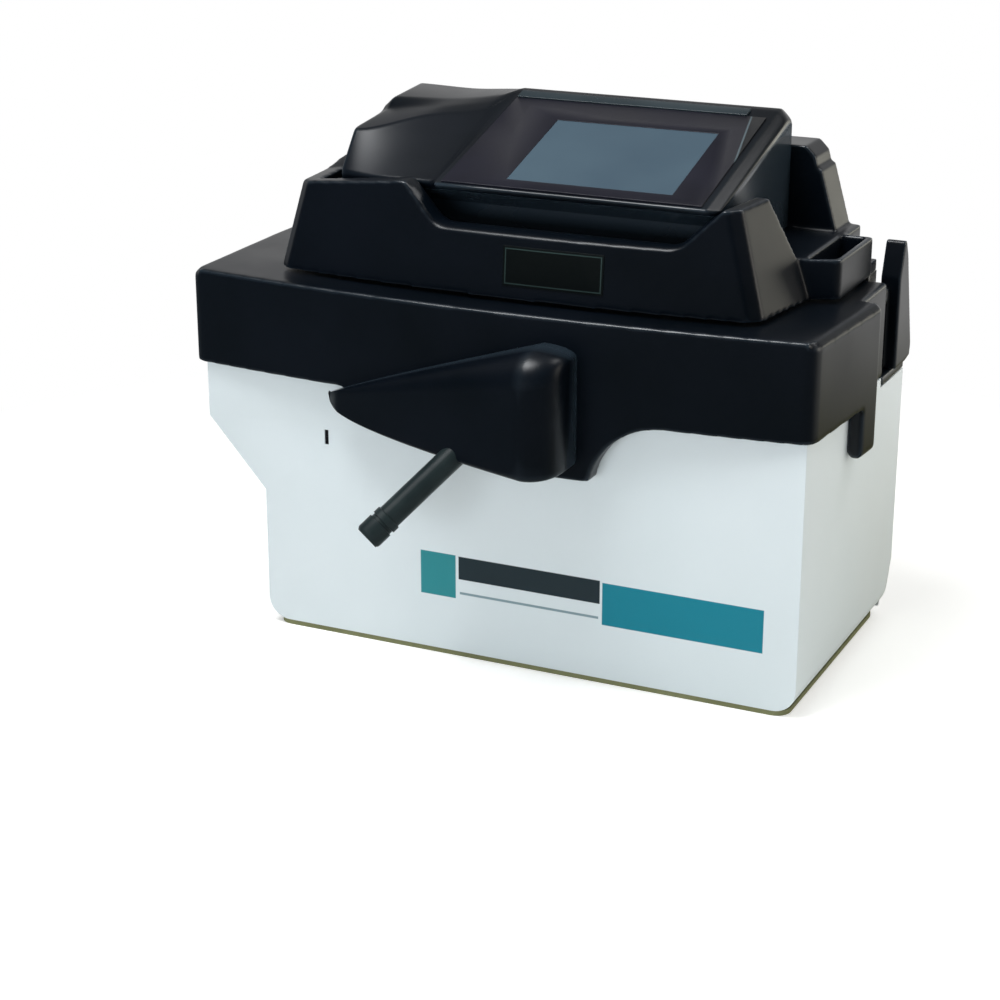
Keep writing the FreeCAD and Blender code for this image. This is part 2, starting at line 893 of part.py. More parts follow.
nose_top_share = 0.9
nose_low_share = 0.35
nose_reach_share = 0.8
nose_crown_share = 0.55
nose_heel_share = 0.15
nose_bulge_share = 0.7
nose_along_shares = (0.01, 0.12, 0.35, 0.65, 1.00)
nose_turn_shares = (0.4, 0.85)
nose_width = size.nose_left + size.nose_right - size.nose_end_round
nose_sections = []


def add_nose_section(station, low, high, reach):
    front = deck_front - reach
    crown = reach * nose_crown_share
    heel = reach * nose_heel_share
    nose_sections.append((station, [
        (-size.deck_reach, low),
        (-size.deck_reach, high),
        (front + crown, high),
        (front + crown * (1 - nose_bulge_share), high - crown * (1 - nose_bulge_share)),
        (front, high - crown),
        (front, low + heel),
        (front + heel, low),
    ]))


for share in nose_along_shares:
    add_nose_section(
        -size.nose_left + nose_width * share,
        size.nose_tip + (size.nose_low - size.nose_tip) * share ** nose_low_share,
        size.nose_tip + (size.nose_low + size.nose_height - size.nose_tip) * share ** nose_top_share,
        size.nose_reach * share ** nose_reach_share,
    )
for share in nose_turn_shares:
    turn = math.radians(90 * share)
    sunk = size.nose_end_round * (1 - math.cos(turn))
    add_nose_section(
        size.nose_right - size.nose_end_round + size.nose_end_round * math.sin(turn),
        size.nose_low + sunk / 4,
        size.nose_low + size.nose_height - sunk / 3,
        size.nose_reach - sunk,
    )
nose_loft = new_body("NoseLoft")
add_loft(nose_loft, "YZ_Plane", nose_sections, True)

bow_half = (half_front - front_left) / 2
bow_radius = (bow_half * bow_half + size.deck_bow * size.deck_bow) / (size.deck_bow * 2)
bow_place = ((half_front + front_left) / 2, deck_front + bow_radius, size.nose_low - past)
bow = rod("Bow", bow_radius, bow_place, size.nose_height + past * 2, "Z")

# The vent tube is turned about a level axis, so that it drops forward and to the left from the cover.

vent_swing = math.radians(size.vent_swing.value)
vent_axis = FreeCAD.Vector(math.cos(vent_swing), -math.sin(vent_swing), 0)
vent_turn = FreeCAD.Rotation(vent_axis, 180 - size.vent_tilt.value)
vent_way = vent_turn.multVec(directions["Z"])


def vent_rod(name, radius, along, length):
    cylinder = doc.addObject("Part::Cylinder", name)
    cylinder.Placement = FreeCAD.Placement(FreeCAD.Vector(0, 0, 0), vent_turn)
    bind(cylinder, "Radius", radius)
    bind(cylinder, "Height", length)
    place(
        cylinder,
        along * vent_way.x,
        along * vent_way.y - size.vent_start_depth,
        along * vent_way.z + size.vent_start_height,
    )
    return cylinder


vent_hole = vent_rod("VentHole", size.vent_radius + size.vent_clearance, -past, size.vent_length)
keep(cut("NoseCover", nose_loft, join("NoseTools", [bow, vent_hole])), "nose_cover")

vent_outer = vent_rod("VentOuter", size.vent_radius, 0 * past, size.vent_length)
vent_bore = vent_rod("VentBore", size.vent_bore_radius, size.sleeve_wall, size.vent_length + past)
keep(cut("VentTube", vent_outer, vent_bore), "vent_tube")

sleeve_radius = size.vent_radius + size.sleeve_wall
sleeve_start = size.vent_length - size.sleeve_length
sleeve_outer = vent_rod("SleeveOuter", sleeve_radius, sleeve_start, size.sleeve_length)
sleeve_bore = vent_rod("SleeveBore", size.vent_radius, sleeve_start - past, size.sleeve_length + past * 2)
keep(cut("VentSleeve", sleeve_outer, sleeve_bore), "vent_sleeve")

# Insulated tub: steel liner hung by its flange in the mouth of the deck, foam round it, gasket on top

liner_flange_top = deck_top + size.liner_wall
liner_outer = block(
    "LinerOuter",
    (-mouth_half, mouth_front, size.tub_floor - size.liner_wall),
    (mouth_half, mouth_back, liner_flange_top),
)
liner_lip = block(
    "LinerLip",
    (-mouth_half - size.liner_flange, mouth_front - size.liner_flange, deck_top),
    (mouth_half + size.liner_flange, mouth_back + size.liner_flange, liner_flange_top),
)
liner_space = block(
    "LinerSpace",
    (-size.tub_half_width, size.tub_front, size.tub_floor),
    (size.tub_half_width, size.tub_back, liner_flange_top + past),
)
keep(cut("TubLiner", join("LinerSolid", [liner_outer, liner_lip]), liner_space), "tub_liner")

foam_outer = block(
    "FoamOuter",
    (
        -mouth_half - size.foam_side,
        mouth_front - size.foam_end,
        foam_bottom,
    ),
    (mouth_half + size.foam_side, mouth_back + size.foam_end, plate_under),
)
foam_space = block(
    "FoamSpace",
    (-mouth_half, mouth_front, size.tub_floor - size.liner_wall),
    (mouth_half, mouth_back, plate_under + past),
)
keep(cut("TubInsulation", foam_outer, foam_space), "tub_insulation")

gasket_top = lid_base - size.gasket_clearance
gasket_outer = block(
    "GasketOuter",
    (-mouth_half - size.gasket_width, mouth_front - size.gasket_width, liner_flange_top),
    (mouth_half + size.gasket_width, mouth_back + size.gasket_width, gasket_top),
)
gasket_space = block(
    "GasketSpace",
    (-mouth_half, mouth_front, liner_flange_top - past),
    (mouth_half, mouth_back, gasket_top + past),
)
keep(cut("TubGasket", gasket_outer, gasket_space), "tub_gasket")

sensor_stem = rod(
    "SensorStem", size.sensor_radius,
    (-size.tub_half_width + size.sensor_inset, size.tub_front + size.sensor_inset, size.tub_floor),
    size.sensor_height, "Z",
)
float_bottom = size.tub_floor + size.sensor_height / 2
sensor_float = block(
    "SensorFloat",
    (
        -size.tub_half_width + size.sensor_inset - size.sensor_radius * 2,
        size.tub_front + size.sensor_inset - size.sensor_radius * 2,
        float_bottom,
    ),
    (
        -size.tub_half_width + size.sensor_inset + size.sensor_radius * 2,
        size.tub_front + size.sensor_inset + size.sensor_radius * 2,
        float_bottom + size.sensor_height / 4,
    ),
)
keep(join("LevelSensor", [sensor_stem, sensor_float]), "level_sensor")

# Lid: a tapered tray with a cut away front for the hand, a wing at the right and a hump across the back

lid = new_body("LidShell")
mid_left = size.lid_shift - size.lid_half_base
mid_right = size.lid_shift + size.lid_half_base
top_left = size.lid_shift - size.lid_half_top
top_right = size.lid_shift + size.lid_half_top
lid_top_front = size.lid_front + size.lid_front_lean
wing_top = lid_base + size.wing_height
add_loft(lid, "XY_Plane", [
    (parapet_top, [
        (top_left, lid_top_front + size.lid_corner),
        (top_left + size.lid_corner, lid_top_front, size.lid_bow),
        (top_right - size.lid_corner, lid_top_front),
        (top_right, lid_top_front + size.lid_corner),
        (top_right + size.lid_flare_top, size.lid_flare_depth),
        (top_right + size.lid_flare_top, size.lid_back),
        (top_left - size.lid_flare_top, size.lid_back),
        (top_left - size.lid_flare_top, size.lid_flare_depth),
    ]),
    (lid_base, [
        (mid_left, size.lid_front + size.lid_corner),
        (mid_left + size.lid_corner, size.lid_front, size.lid_bow),
        (mid_right - size.lid_corner, size.lid_front),
        (mid_right, size.lid_front + size.lid_corner),
        (mid_right + size.lid_flare, size.lid_flare_depth),
        (mid_right + size.lid_flare, size.lid_back),
        (mid_left - size.lid_flare, size.lid_back),
        (mid_left - size.lid_flare, size.lid_flare_depth),
    ]),
], True)
inner_left = top_left + size.parapet_wall
inner_right = top_right - size.parapet_wall
take_slab(lid, "XY_Plane", [
    (inner_left, lid_top_front + size.parapet_wall),
    (inner_right, lid_top_front + size.parapet_wall),
    (inner_right + size.lid_flare_top, size.lid_flare_depth),
    (inner_right + size.lid_flare_top, size.hump_front),
    (inner_left - size.lid_flare_top, size.hump_front),
    (inner_left - size.lid_flare_top, size.lid_flare_depth),
], floor_top, parapet_top + past)
take_slab(lid, "YZ_Plane", [
    (size.slope_front, parapet_top + past),
    (size.slope_back, wing_top),
    (size.hump_front, wing_top),
    (size.hump_front, parapet_top + past),
], inner_right, size.wing_outer)
grip_left = top_left + size.grip_left
grip_right = top_right - size.grip_right
bow_front = size.lid_front - size.lid_bow
take_slab(lid, "XZ_Plane", [
    (top_left - size.lid_flare_top - past, parapet_top - size.parapet_fall),
    (grip_left, parapet_top),
    (grip_left, parapet_top + past),
    (top_left - size.lid_flare_top - past, parapet_top + past),
], bow_front - past, size.hump_front)
take_slab(lid, "XZ_Plane", [
    (grip_left, parapet_top + past),
    (grip_left + size.grip_left_low, lid_base + size.grip_height),
    (grip_right - size.grip_right_low, lid_base + size.grip_height),
    (grip_right, parapet_top + past),
], bow_front - past, lid_top_front + size.parapet_wall + past)
hump_top = lid_base + size.hump_height
hump_left = size.lid_shift - size.hump_half_width
hump_right = size.lid_shift + size.hump_half_width
add_slab(lid, "XZ_Plane", [
    (mid_left - size.lid_flare, lid_base),
    (mid_right + size.lid_flare, lid_base),
    (mid_right + size.lid_flare, wing_top),
    (hump_right + size.hump_spread, wing_top),
    (hump_right, hump_top - size.hump_round),
    (hump_right - size.hump_round, hump_top),
    (hump_left + size.hump_round, hump_top),
    (hump_left, hump_top - size.hump_round),
    (hump_left - size.hump_spread, wing_top),
    (mid_left - size.lid_flare, wing_top),
], size.hump_front, size.lid_back)
add_slab(lid, "YZ_Plane", [
    (size.slope_front, parapet_top - size.parapet_wall * 2),
    (size.slope_front, parapet_top - size.parapet_fall),
    (size.hump_front, hump_top - size.hump_round),
    (size.hump_front, parapet_top - size.parapet_wall * 2),
], top_left - size.lid_flare_top, inner_left - size.lid_flare_top)
wing_inner = mid_right + size.lid_flare
flange_back = size.hinge_back + size.arm_radius
add_slab(lid, "XY_Plane", [
    (mid_right, size.slope_back),
    (size.wing_outer - size.wing_corner, size.slope_back + size.wing_sweep),
    (size.wing_outer, size.slope_back + size.wing_sweep + size.wing_corner),
    (size.wing_outer, size.hump_front),
    (mid_right, size.hump_front),
], lid_base, wing_top)
take_slab(lid, "XY_Plane", [
    (wing_inner + size.wing_rim - size.wing_tuck, size.slope_back + size.wing_rim),
    (size.wing_outer - size.wing_rim, size.slope_back + size.wing_sweep + size.wing_rim),
    (size.wing_outer - size.wing_rim, size.hump_front - size.wing_rim),
    (wing_inner + size.wing_rim - size.wing_tuck, size.hump_front - size.wing_rim),
], wing_top - size.wing_pocket, wing_top + past)
take_slab(lid, "XY_Plane", [
    (mid_left + size.lid_skin, size.lid_front + size.lid_skin),
    (mid_right - size.lid_skin, size.lid_front + size.lid_skin),
    (mid_right - size.lid_skin, size.lid_back - size.lid_skin),
    (mid_left + size.lid_skin, size.lid_back - size.lid_skin),
], lid_base - past, floor_top - size.lid_floor)
arm_inner = size.arm_outer - size.arm_thickness
for flange_left, flange_right in ((-size.arm_outer, mid_left), (mid_right, size.arm_outer)):
    add_slab(lid, "XY_Plane", [
        (flange_left, size.hinge_back - size.arm_radius),
        (flange_right, size.hinge_back - size.arm_radius),
        (flange_right, flange_back),
        (flange_left, flange_back),
    ], lid_base, lid_base + size.flange_thickness)
keep(lid, "lid_shell")

# Hinge: arms under the lid's flanges, plain pins through them, and hooded posts whose fins hold the pins.
# The post's outline is given as shares of its depth and of its height.

post_outline_shares = [
    (0, 0), (0.7, 0), (0.95, 0.02), (1, 0.11), (0.48, 0.88), (0.33, 1), (0.22, 1), (0, 0.73),
]
fin_outer = size.post_inner + size.fin_thickness
arm_top = lid_base
for side_name, side in (("left", -1), ("right", 1)):
    arm_far = size.arm_outer * side
    arm_near = arm_inner * side
    arm_low = arm_far if side < 0 else arm_near
    arm = new_body(f"HingeArm{side_name}")
    add_slab(arm, "YZ_Plane", [
        (size.hinge_back - size.arm_radius, arm_top),
        (size.hinge_back - size.arm_radius, hinge_level, size.arm_radius),
        (size.hinge_back + size.arm_radius, hinge_level),
        (size.hinge_back + size.arm_radius, arm_top),
    ], arm_low, arm_low + size.arm_thickness)
    take_hole(
        arm, "YZ_Plane", size.hinge_back, hinge_level, size.pin_radius + size.pin_clearance,
        arm_low - past, arm_low + size.arm_thickness + past,
    )
    keep(arm, f"hinge_arm_{side_name}")

    post_low = size.post_inner if side > 0 else -size.post_inner - size.post_thickness
    post = new_body(f"HingePost{side_name}")
    post_bottom = cover_top
    add_slab(post, "YZ_Plane", [
        (size.post_front + size.post_depth * depth_share, post_bottom + size.post_height * height_share)
        for depth_share, height_share in post_outline_shares
    ], post_low, post_low + size.post_thickness)
    foot_low = size.post_inner - size.post_foot_width if side > 0 else -size.post_inner
    add_slab(post, "XY_Plane", [
        (foot_low, size.post_front + size.post_round),
        (foot_low + size.post_foot_width, size.post_front + size.post_round),
        (foot_low + size.post_foot_width, size.body_depth - size.post_round),
        (foot_low, size.body_depth - size.post_round),
    ], post_bottom, post_bottom + size.post_foot_height)
    fin_low = size.post_inner if side > 0 else -fin_outer
    add_slab(post, "YZ_Plane", [
        (size.hinge_back + size.fin_radius, hinge_level, size.fin_radius),
        (size.hinge_back - size.fin_radius, hinge_level),
        (size.post_front - size.fin_foot, post_bottom + size.post_foot_height),
        (size.post_front - size.fin_foot, post_bottom),
        (size.post_front + past, post_bottom),
        (size.post_front + past, hinge_level),
    ], fin_low, fin_low + size.fin_thickness)
    take_hole(
        post, "YZ_Plane", size.hinge_back, hinge_level, size.pin_radius,
        fin_low - past, fin_low + size.fin_thickness + past,
    )
    keep(post, f"hinge_post_{side_name}")

    pin_low = arm_inner if side > 0 else -fin_outer - size.pin_proud
    pin = rod(
        f"HingePin{side_name}", size.pin_radius, (pin_low, size.hinge_back, hinge_level),
        fin_outer - arm_inner + size.pin_proud, "X",
    )
    keep(pin, f"hinge_pin_{side_name}")

# Insulating plug under the lid, which goes down into the mouth of the tub

plug_top = floor_top - size.lid_floor
plug_body = block(
    "PlugBody",
    (
        -size.tub_half_width + size.plug_clearance,
        size.tub_front + size.plug_clearance,
        lid_base - size.plug_drop,
    ),
    (size.tub_half_width - size.plug_clearance, size.tub_back - size.plug_clearance, plug_top),
)
plug_flange = block(
    "PlugFlange",
    (mid_left + size.lid_skin, size.lid_front + size.lid_skin, lid_base),
    (mid_right - size.lid_skin, size.lid_back - size.lid_skin, plug_top),
)
keep(join("LidInsulation", [plug_body, plug_flange]), "lid_insulation")

# Console: one moulding lofted through sections along X. Each row gives a section's points as shares of
# the console's depth and of its height above the lid's floor.

pod_tip_shares = [
    (0.5, 0.56), (0.5, 0.6), (0.5, 0.64), (0.51, 0.7), (0.54, 0.76), (0.66, 0.79), (0.7, 0.84),
    (1, 0.87), (1, 0.56),
]
pod_end_shares = [
    (0.25, 0), (0.25, 0.26), (0.16, 0.34), (0.15, 0.45), (0.29, 0.76), (0.64, 0.83), (0.69, 0.91),
    (1, 0.955), (1, 0),
]
pod_crease_shares = [
    (0.25, 0), (0.25, 0.26), (0.11, 0.39), (0.10, 0.46), (0.50, 0.85), (0.62, 0.89), (0.73, 0.925),
    (1, 0.945), (1, 0),
]
pod_shoulder_shares = [
    (0.25, 0), (0.25, 0.26), (0.09, 0.41), (0.085, 0.47), (0.66, 0.89), (0.74, 0.93), (0.82, 0.96),
    (1, 0.97), (1, 0),
]
pod_panel_shares = [
    (0.25, 0), (0.25, 0.26), (0.01, 0.45), (0, 0.49), (0.92, 0.98), (0.94, 0.985), (0.96, 0.99),
    (1, 0.975), (1, 0),
]
pod_cheek_shares = [
    (0.25, 0), (0.25, 0.26), (0.03, 0.44), (0.02, 0.48), (0.91, 0.955), (0.94, 0.96), (0.96, 0.96),
    (1, 0.945), (1, 0),
]
pod_bevel_shares = [
    (0.25, 0), (0.25, 0.26), (0.07, 0.455), (0.06, 0.475), (0.90, 0.90), (0.93, 0.905), (0.96, 0.90),
    (1, 0.885), (1, 0),
]
pod_front = size.lid_front + size.pod_front
pod_back = size.hump_front - size.pod_back
pod_depth = pod_back - pod_front
pod_right = inner_right - size.pod_right
pod_cheek = pod_right - size.pod_cheek
panel_right = pod_cheek - size.panel_right
screen_right = panel_right - size.screen_right
screen_left = screen_right - size.screen_width
panel_left = screen_left - size.screen_left
pod_shoulder = panel_left - size.panel_left
pod_left = inner_left + size.pod_left
pod_crease = (pod_left + pod_shoulder) / 2 + size.pod_crease
pod_stations = [
    (pod_left - size.pod_tip, pod_tip_shares),
    (pod_left, pod_end_shares),
    (pod_crease, pod_crease_shares),
    (pod_shoulder, pod_shoulder_shares),
    (panel_left, pod_panel_shares),
    (panel_right, pod_panel_shares),
    (pod_cheek, pod_cheek_shares),
    (pod_right, pod_bevel_shares),
]
console = new_body("ConsoleHousing")
add_loft(console, "YZ_Plane", [
    (station, [
        (pod_front + pod_depth * depth_share, floor_top + size.pod_rise * rise_share)
        for depth_share, rise_share in section_shares
    ])
    for station, section_shares in pod_stations
], True)
panel_front_rise = pod_panel_shares[3][1]
panel_back_share, panel_back_rise = pod_panel_shares[4]
hollow_front_share = 0.3
hollow_rise = panel_front_rise + (panel_back_rise - panel_front_rise) * hollow_front_share / panel_back_share
hollow_front = pod_front + pod_depth * hollow_front_share
hollow_back = pod_front + pod_depth * panel_back_share
take_slab(console, "YZ_Plane", [
    (hollow_front, floor_top),
    (hollow_back, floor_top),
    (hollow_back, floor_top + size.pod_rise * panel_back_rise - size.pod_wall),
    (hollow_front, floor_top + size.pod_rise * hollow_rise - size.pod_wall),
], panel_left, panel_right)
keep(console, "console_housing")

# Glass panel, screen and bright bar, laid on the slope of the console

panel_run = pod_depth * pod_panel_shares[4][0]
panel_climb = size.pod_rise * (pod_panel_shares[4][1] - pod_panel_shares[3][1])
panel_start = floor_top + size.pod_rise * pod_panel_shares[3][1]
panel_long = long_side(panel_run, panel_climb)
panel_tilt = slope_angle(panel_run, panel_climb)
run_share = panel_run / panel_long
climb_share = panel_climb / panel_long
trim_start = panel_long - size.trim_back - size.trim_width


def sloped_block(name, left, right, up_start, up_end, low, high):
    sheet_block = doc.addObject("Part::Box", name)
    bind(sheet_block, "Length", right - left)
    bind(sheet_block, "Width", up_end - up_start)
    bind(sheet_block, "Height", high - low)
    sheet_block.Placement = FreeCAD.Placement(
        FreeCAD.Vector(0, 0, 0), FreeCAD.Rotation(directions["X"], panel_tilt.value)
    )
    place(
        sheet_block,
        left,
        pod_front + up_start * run_share - low * climb_share,
        panel_start + up_start * climb_share + low * run_share,
    )
    return sheet_block


bezel_plate = sloped_block(
    "BezelPlate",
    panel_left + size.bezel_margin,
    panel_right - size.bezel_margin,
    size.bezel_margin,
    trim_start - size.trim_gap,
    0 * past,
    size.bezel_thickness,
)
bezel_window = sloped_block(
    "BezelWindow",
    screen_left,
    screen_right,
    size.screen_up,
    size.screen_up + size.screen_length,
    -past,
    size.bezel_thickness + past,
)
keep(cut("DisplayBezel", bezel_plate, bezel_window), "display_bezel")
screen = sloped_block(
    "TouchScreen",
    screen_left,
    screen_right,
    size.screen_up,
    size.screen_up + size.screen_length,
    0 * past,
    size.bezel_thickness - size.screen_sink,
)
keep(screen, "touch_screen")
trim = sloped_block(
    "PanelTrim",
    panel_left + size.bezel_margin,
    panel_right - size.trim_right,
    trim_start,
    trim_start + size.trim_width,
    0 * past,
    size.trim_height,
)
keep(trim, "panel_trim")

board_top = -size.pod_wall * run_share
board_start = panel_long * hollow_front_share / panel_back_share + size.pod_wall
display_board = sloped_block(
    "DisplayBoard",
    screen_left,
    screen_right,
    board_start,
    panel_long - size.pod_wall * 2,
    board_top - size.board_thickness,
    board_top,
)
keep(display_board, "display_board")

# Bare label plate on the lid's leaning and bowed front


# The lid's front face at a place across it and at a share of its height, where the bow is nearly a parabola
def lid_face(across, rise_share):
    half_width = size.lid_half_base + (size.lid_half_top - size.lid_half_base) * rise_share
    off_middle = (across - size.lid_shift) / (half_width - size.lid_corner)
    return size.lid_front + size.lid_front_lean * rise_share - size.lid_bow * (1 - off_middle * off_middle)


label_right = mid_right - size.label_right
label_left = label_right - size.label_width
label_sections = []
for label_rise in (size.label_rise + size.label_height, size.label_rise):
    rise_share = label_rise / size.parapet_height
    half_width = size.lid_half_base + (size.lid_half_top - size.lid_half_base) * rise_share
    bow_width = (half_width - size.lid_corner) * 2
    sag = size.lid_bow * size.label_width * size.label_width / (bow_width * bow_width)
    back_left = lid_face(label_left, rise_share) - size.label_clearance
    back_right = lid_face(label_right, rise_share) - size.label_clearance
    label_sections.append((lid_base + label_rise, [
        (label_left, back_left - size.label_thickness, sag),
        (label_right, back_right - size.label_thickness),
        (label_right, back_right, -sag),
        (label_left, back_left),
    ]))
label = new_body("LabelPlate")
add_loft(label, "XY_Plane", label_sections, True)
keep(label, "label_plate")

# Coil that shakes the vial: a former, a winding round it, and two end plates that hang from the plug

plug_bottom = lid_base - size.plug_drop
former_radius = size.vial_radius + size.vial_clearance + size.former_wall
end_inner = size.former_half_length - size.end_plate_thickness
bore_radius = size.vial_radius + size.vial_clearance
former_tube = rod(
    "FormerTube", former_radius, (-size.former_half_length, size.coil_depth, coil_level),
    size.former_half_length * 2, "X",
)
former_bore = rod(
    "FormerBore", bore_radius, (-end_inner, size.coil_depth, coil_level),
    end_inner + size.former_half_length + past, "X",
)
keep(cut("CoilFormer", former_tube, former_bore), "coil_former")

winding_tube = rod(
    "WindingTube", size.winding_radius, (-size.winding_half_length, size.coil_depth, coil_level),
    size.winding_half_length * 2, "X",
)
winding_bore = rod(
    "WindingBore", former_radius, (-size.winding_half_length - past, size.coil_depth, coil_level),
    (size.winding_half_length + past) * 2, "X",
)
keep(cut("CoilWinding", winding_tube, winding_bore), "coil_winding")

for side_name, plate_low in (("left", -size.former_half_length), ("right", end_inner)):
    end_plate = new_body(f"CoilPlate{side_name}")
    shoulder = size.end_plate_half_width
    add_slab(end_plate, "YZ_Plane", [
        (size.coil_depth - shoulder, plug_bottom),
        (size.coil_depth - shoulder, coil_level - shoulder / 2),
        (size.coil_depth - shoulder / 2, coil_level - shoulder),
        (size.coil_depth + shoulder / 2, coil_level - shoulder),
        (size.coil_depth + shoulder, coil_level - shoulder / 2),
        (size.coil_depth + shoulder, plug_bottom),
    ], plate_low, plate_low + size.end_plate_thickness)
    take_hole(
        end_plate, "YZ_Plane", size.coil_depth, coil_level, former_radius,
        plate_low - past, plate_low + size.end_plate_thickness + past,
    )
    if side_name == "right":
        take_hole(
            end_plate, "YZ_Plane", size.coil_depth + size.latch_offset, coil_level, size.latch_pin_radius,
            plate_low, plate_low + size.end_plate_thickness + past,
        )
    keep(end_plate, f"coil_plate_{side_name}")

tie_names = ("tie_rod_front", "tie_rod_rear")
for tie_name, tie_side in zip(tie_names, (-1, 1)):
    tie = rod(
        f"TieRod{tie_name[-4:]}", size.tie_radius,
        (-end_inner, size.coil_depth + size.tie_offset * tie_side, plug_bottom - size.tie_radius * 2),
        end_inner * 2, "X",
    )
    keep(tie, tie_name)

# Latch that closes the vial's bore: a plate that swings on a headed pin in the right end plate

latch_low = size.former_half_length + size.latch_gap
latch_pivot = size.coil_depth + size.latch_offset
latch_eye = size.latch_pin_radius * 2 + size.latch_gap
latch = new_body("VialLatch")
add_slab(latch, "YZ_Plane", [
    (size.coil_depth, coil_level + size.latch_radius, size.latch_radius),
    (size.coil_depth, coil_level - size.latch_radius),
    (latch_pivot, coil_level - latch_eye, latch_eye),
    (latch_pivot, coil_level + latch_eye),
], latch_low, latch_low + size.latch_thickness)
take_hole(
    latch, "YZ_Plane", latch_pivot, coil_level, size.latch_pin_radius + size.pin_clearance,
    latch_low - past, latch_low + size.latch_thickness + past,
)
keep(latch, "vial_latch")
latch_stem = rod(
    "LatchStem", size.latch_pin_radius, (end_inner, latch_pivot, coil_level),
    size.end_plate_thickness + size.latch_gap * 2 + size.latch_thickness, "X",
)
head_low = latch_low + size.latch_thickness + size.latch_gap
latch_head = rod(
    "LatchHead", size.latch_head_radius, (head_low, latch_pivot, coil_level), size.latch_head_length, "X",
)
keep(join("LatchPin", [latch_stem, latch_head]), "latch_pin")

# Electrical pieces inside the housing

supply_right = half_body - wall - size.supply_gap
supply = block(
    "PowerSupply",
    (supply_right - size.supply_width, size.supply_front, wall),
    (supply_right, size.supply_front + size.supply_depth, wall + size.supply_height),
)
keep(supply, "power_supply")

capacitor_x = -low_left + wall + size.capacitor_radius + size.supply_gap
cans = []
for number in range(size.capacitor_count.value):
    capacitor_y = size.capacitor_front + size.capacitor_pitch * number
    cans.append(rod(
        f"Capacitor{number + 1}", size.capacitor_radius,
        (capacitor_x, capacitor_y, wall + size.rack_thickness), size.capacitor_height, "Z",
    ))
rack = block(
    "CapacitorRack",
    (capacitor_x - size.capacitor_radius, size.capacitor_front - size.capacitor_radius, wall),
    (
        capacitor_x + size.capacitor_radius,
        size.capacitor_front + size.capacitor_pitch * (size.capacitor_count - 1) + size.capacitor_radius,
        wall + size.rack_thickness,
    ),
)
keep(join("CapacitorBank", [rack] + cans), "capacitor_bank")

card_left = -size.card_width / 2
card_back = size.card_front + size.card_depth
card_bottom = wall + size.card_height
card = block(
    "CardBoard",
    (card_left, size.card_front, card_bottom),
    (card_left + size.card_width, card_back, card_bottom + size.board_thickness),
)
legs = [card]
for leg_x in (card_left + size.standoff_inset, card_left + size.card_width - size.standoff_inset):
    for leg_y in (size.card_front + size.standoff_inset, card_back - size.standoff_inset):
        legs.append(block(
            f"Standoff{len(legs)}",
            (leg_x - size.standoff_radius, leg_y - size.standoff_radius, wall),
            (leg_x + size.standoff_radius, leg_y + size.standoff_radius, card_bottom),
        ))
keep(join("ControlBoard", legs), "control_board")

# Checks before anything is written

os.makedirs("parts", exist_ok=True)
doc.recompute()
for thing in doc.Objects:
    if "Invalid" in thing.State or "Error" in thing.State:
        raise RuntimeError(f"{thing.Name} failed: {thing.State}")
for piece in pieces:
    if piece.Shape.isNull() or not piece.Shape.isValid():
        raise RuntimeError(f"{piece.Label} has no valid shape")
    piece.Shape.exportStep(f"parts/{piece.Label}.step")
box = FreeCAD.BoundBox()
for piece in pieces:
    box.add(piece.Shape.BoundBox)
    print(piece.Label, len(piece.Shape.Solids), round(piece.Shape.Volume), piece.Shape.BoundBox)
print("whole mill", [round(v, 2) for v in (box.XMin, box.XMax, box.YMin, box.YMax, box.ZMin, box.ZMax)])
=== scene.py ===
import json
import math

import bmesh
import bpy
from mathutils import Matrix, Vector


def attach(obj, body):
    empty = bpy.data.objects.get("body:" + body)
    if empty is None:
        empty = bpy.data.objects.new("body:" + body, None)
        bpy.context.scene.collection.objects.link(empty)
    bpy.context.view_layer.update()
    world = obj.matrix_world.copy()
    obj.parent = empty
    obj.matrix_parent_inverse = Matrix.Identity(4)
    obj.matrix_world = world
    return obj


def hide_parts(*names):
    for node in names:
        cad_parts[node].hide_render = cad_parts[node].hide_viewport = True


# Bench cryogenic grinding mill: black hinged lid with a tilted screen, black deck, white housing.
# X goes to the mill's right, Y to its back and Z up, in metres. Sizes below are in millimetres from
# the housing's front face and bottom edge, as in the part's source.

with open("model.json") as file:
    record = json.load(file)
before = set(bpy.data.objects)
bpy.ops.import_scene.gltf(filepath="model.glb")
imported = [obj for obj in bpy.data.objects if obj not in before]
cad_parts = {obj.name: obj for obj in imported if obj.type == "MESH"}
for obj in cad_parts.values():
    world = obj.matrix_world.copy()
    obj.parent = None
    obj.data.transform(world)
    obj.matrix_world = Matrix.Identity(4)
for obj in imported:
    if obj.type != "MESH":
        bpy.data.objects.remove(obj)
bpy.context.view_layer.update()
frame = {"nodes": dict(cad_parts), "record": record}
nodes = frame["nodes"]
print("frame loaded:", len(nodes), "nodes")

housing = {"back": 73.78, "lift": 4.0}


def spot(x, y, z):
    # housing millimetres to the model's metres
    return Vector((x, y - housing["back"], z + housing["lift"])) / 1000


def linear(hexColour):
    # sRGB hex to the linear colour that the shaders want
    parts = [int(hexColour[i:i + 2], 16) / 255 for i in (1, 3, 5)]
    return [p / 12.92 if p <= 0.04045 else ((p + 0.055) / 1.055) ** 2.4 for p in parts] + [1.0]


def addNode(tree, kind, values=None, links=None, **settings):
    # one shader node with its settings, its socket values and the sockets that feed it
    node = tree.nodes.new(kind)
    for name, value in settings.items():
        setattr(node, name, value)
    for socket, value in (values or {}).items():
        node.inputs[socket].default_value = value
    for socket, source in (links or {}).items():
        tree.links.new(source, node.inputs[socket])
    return node


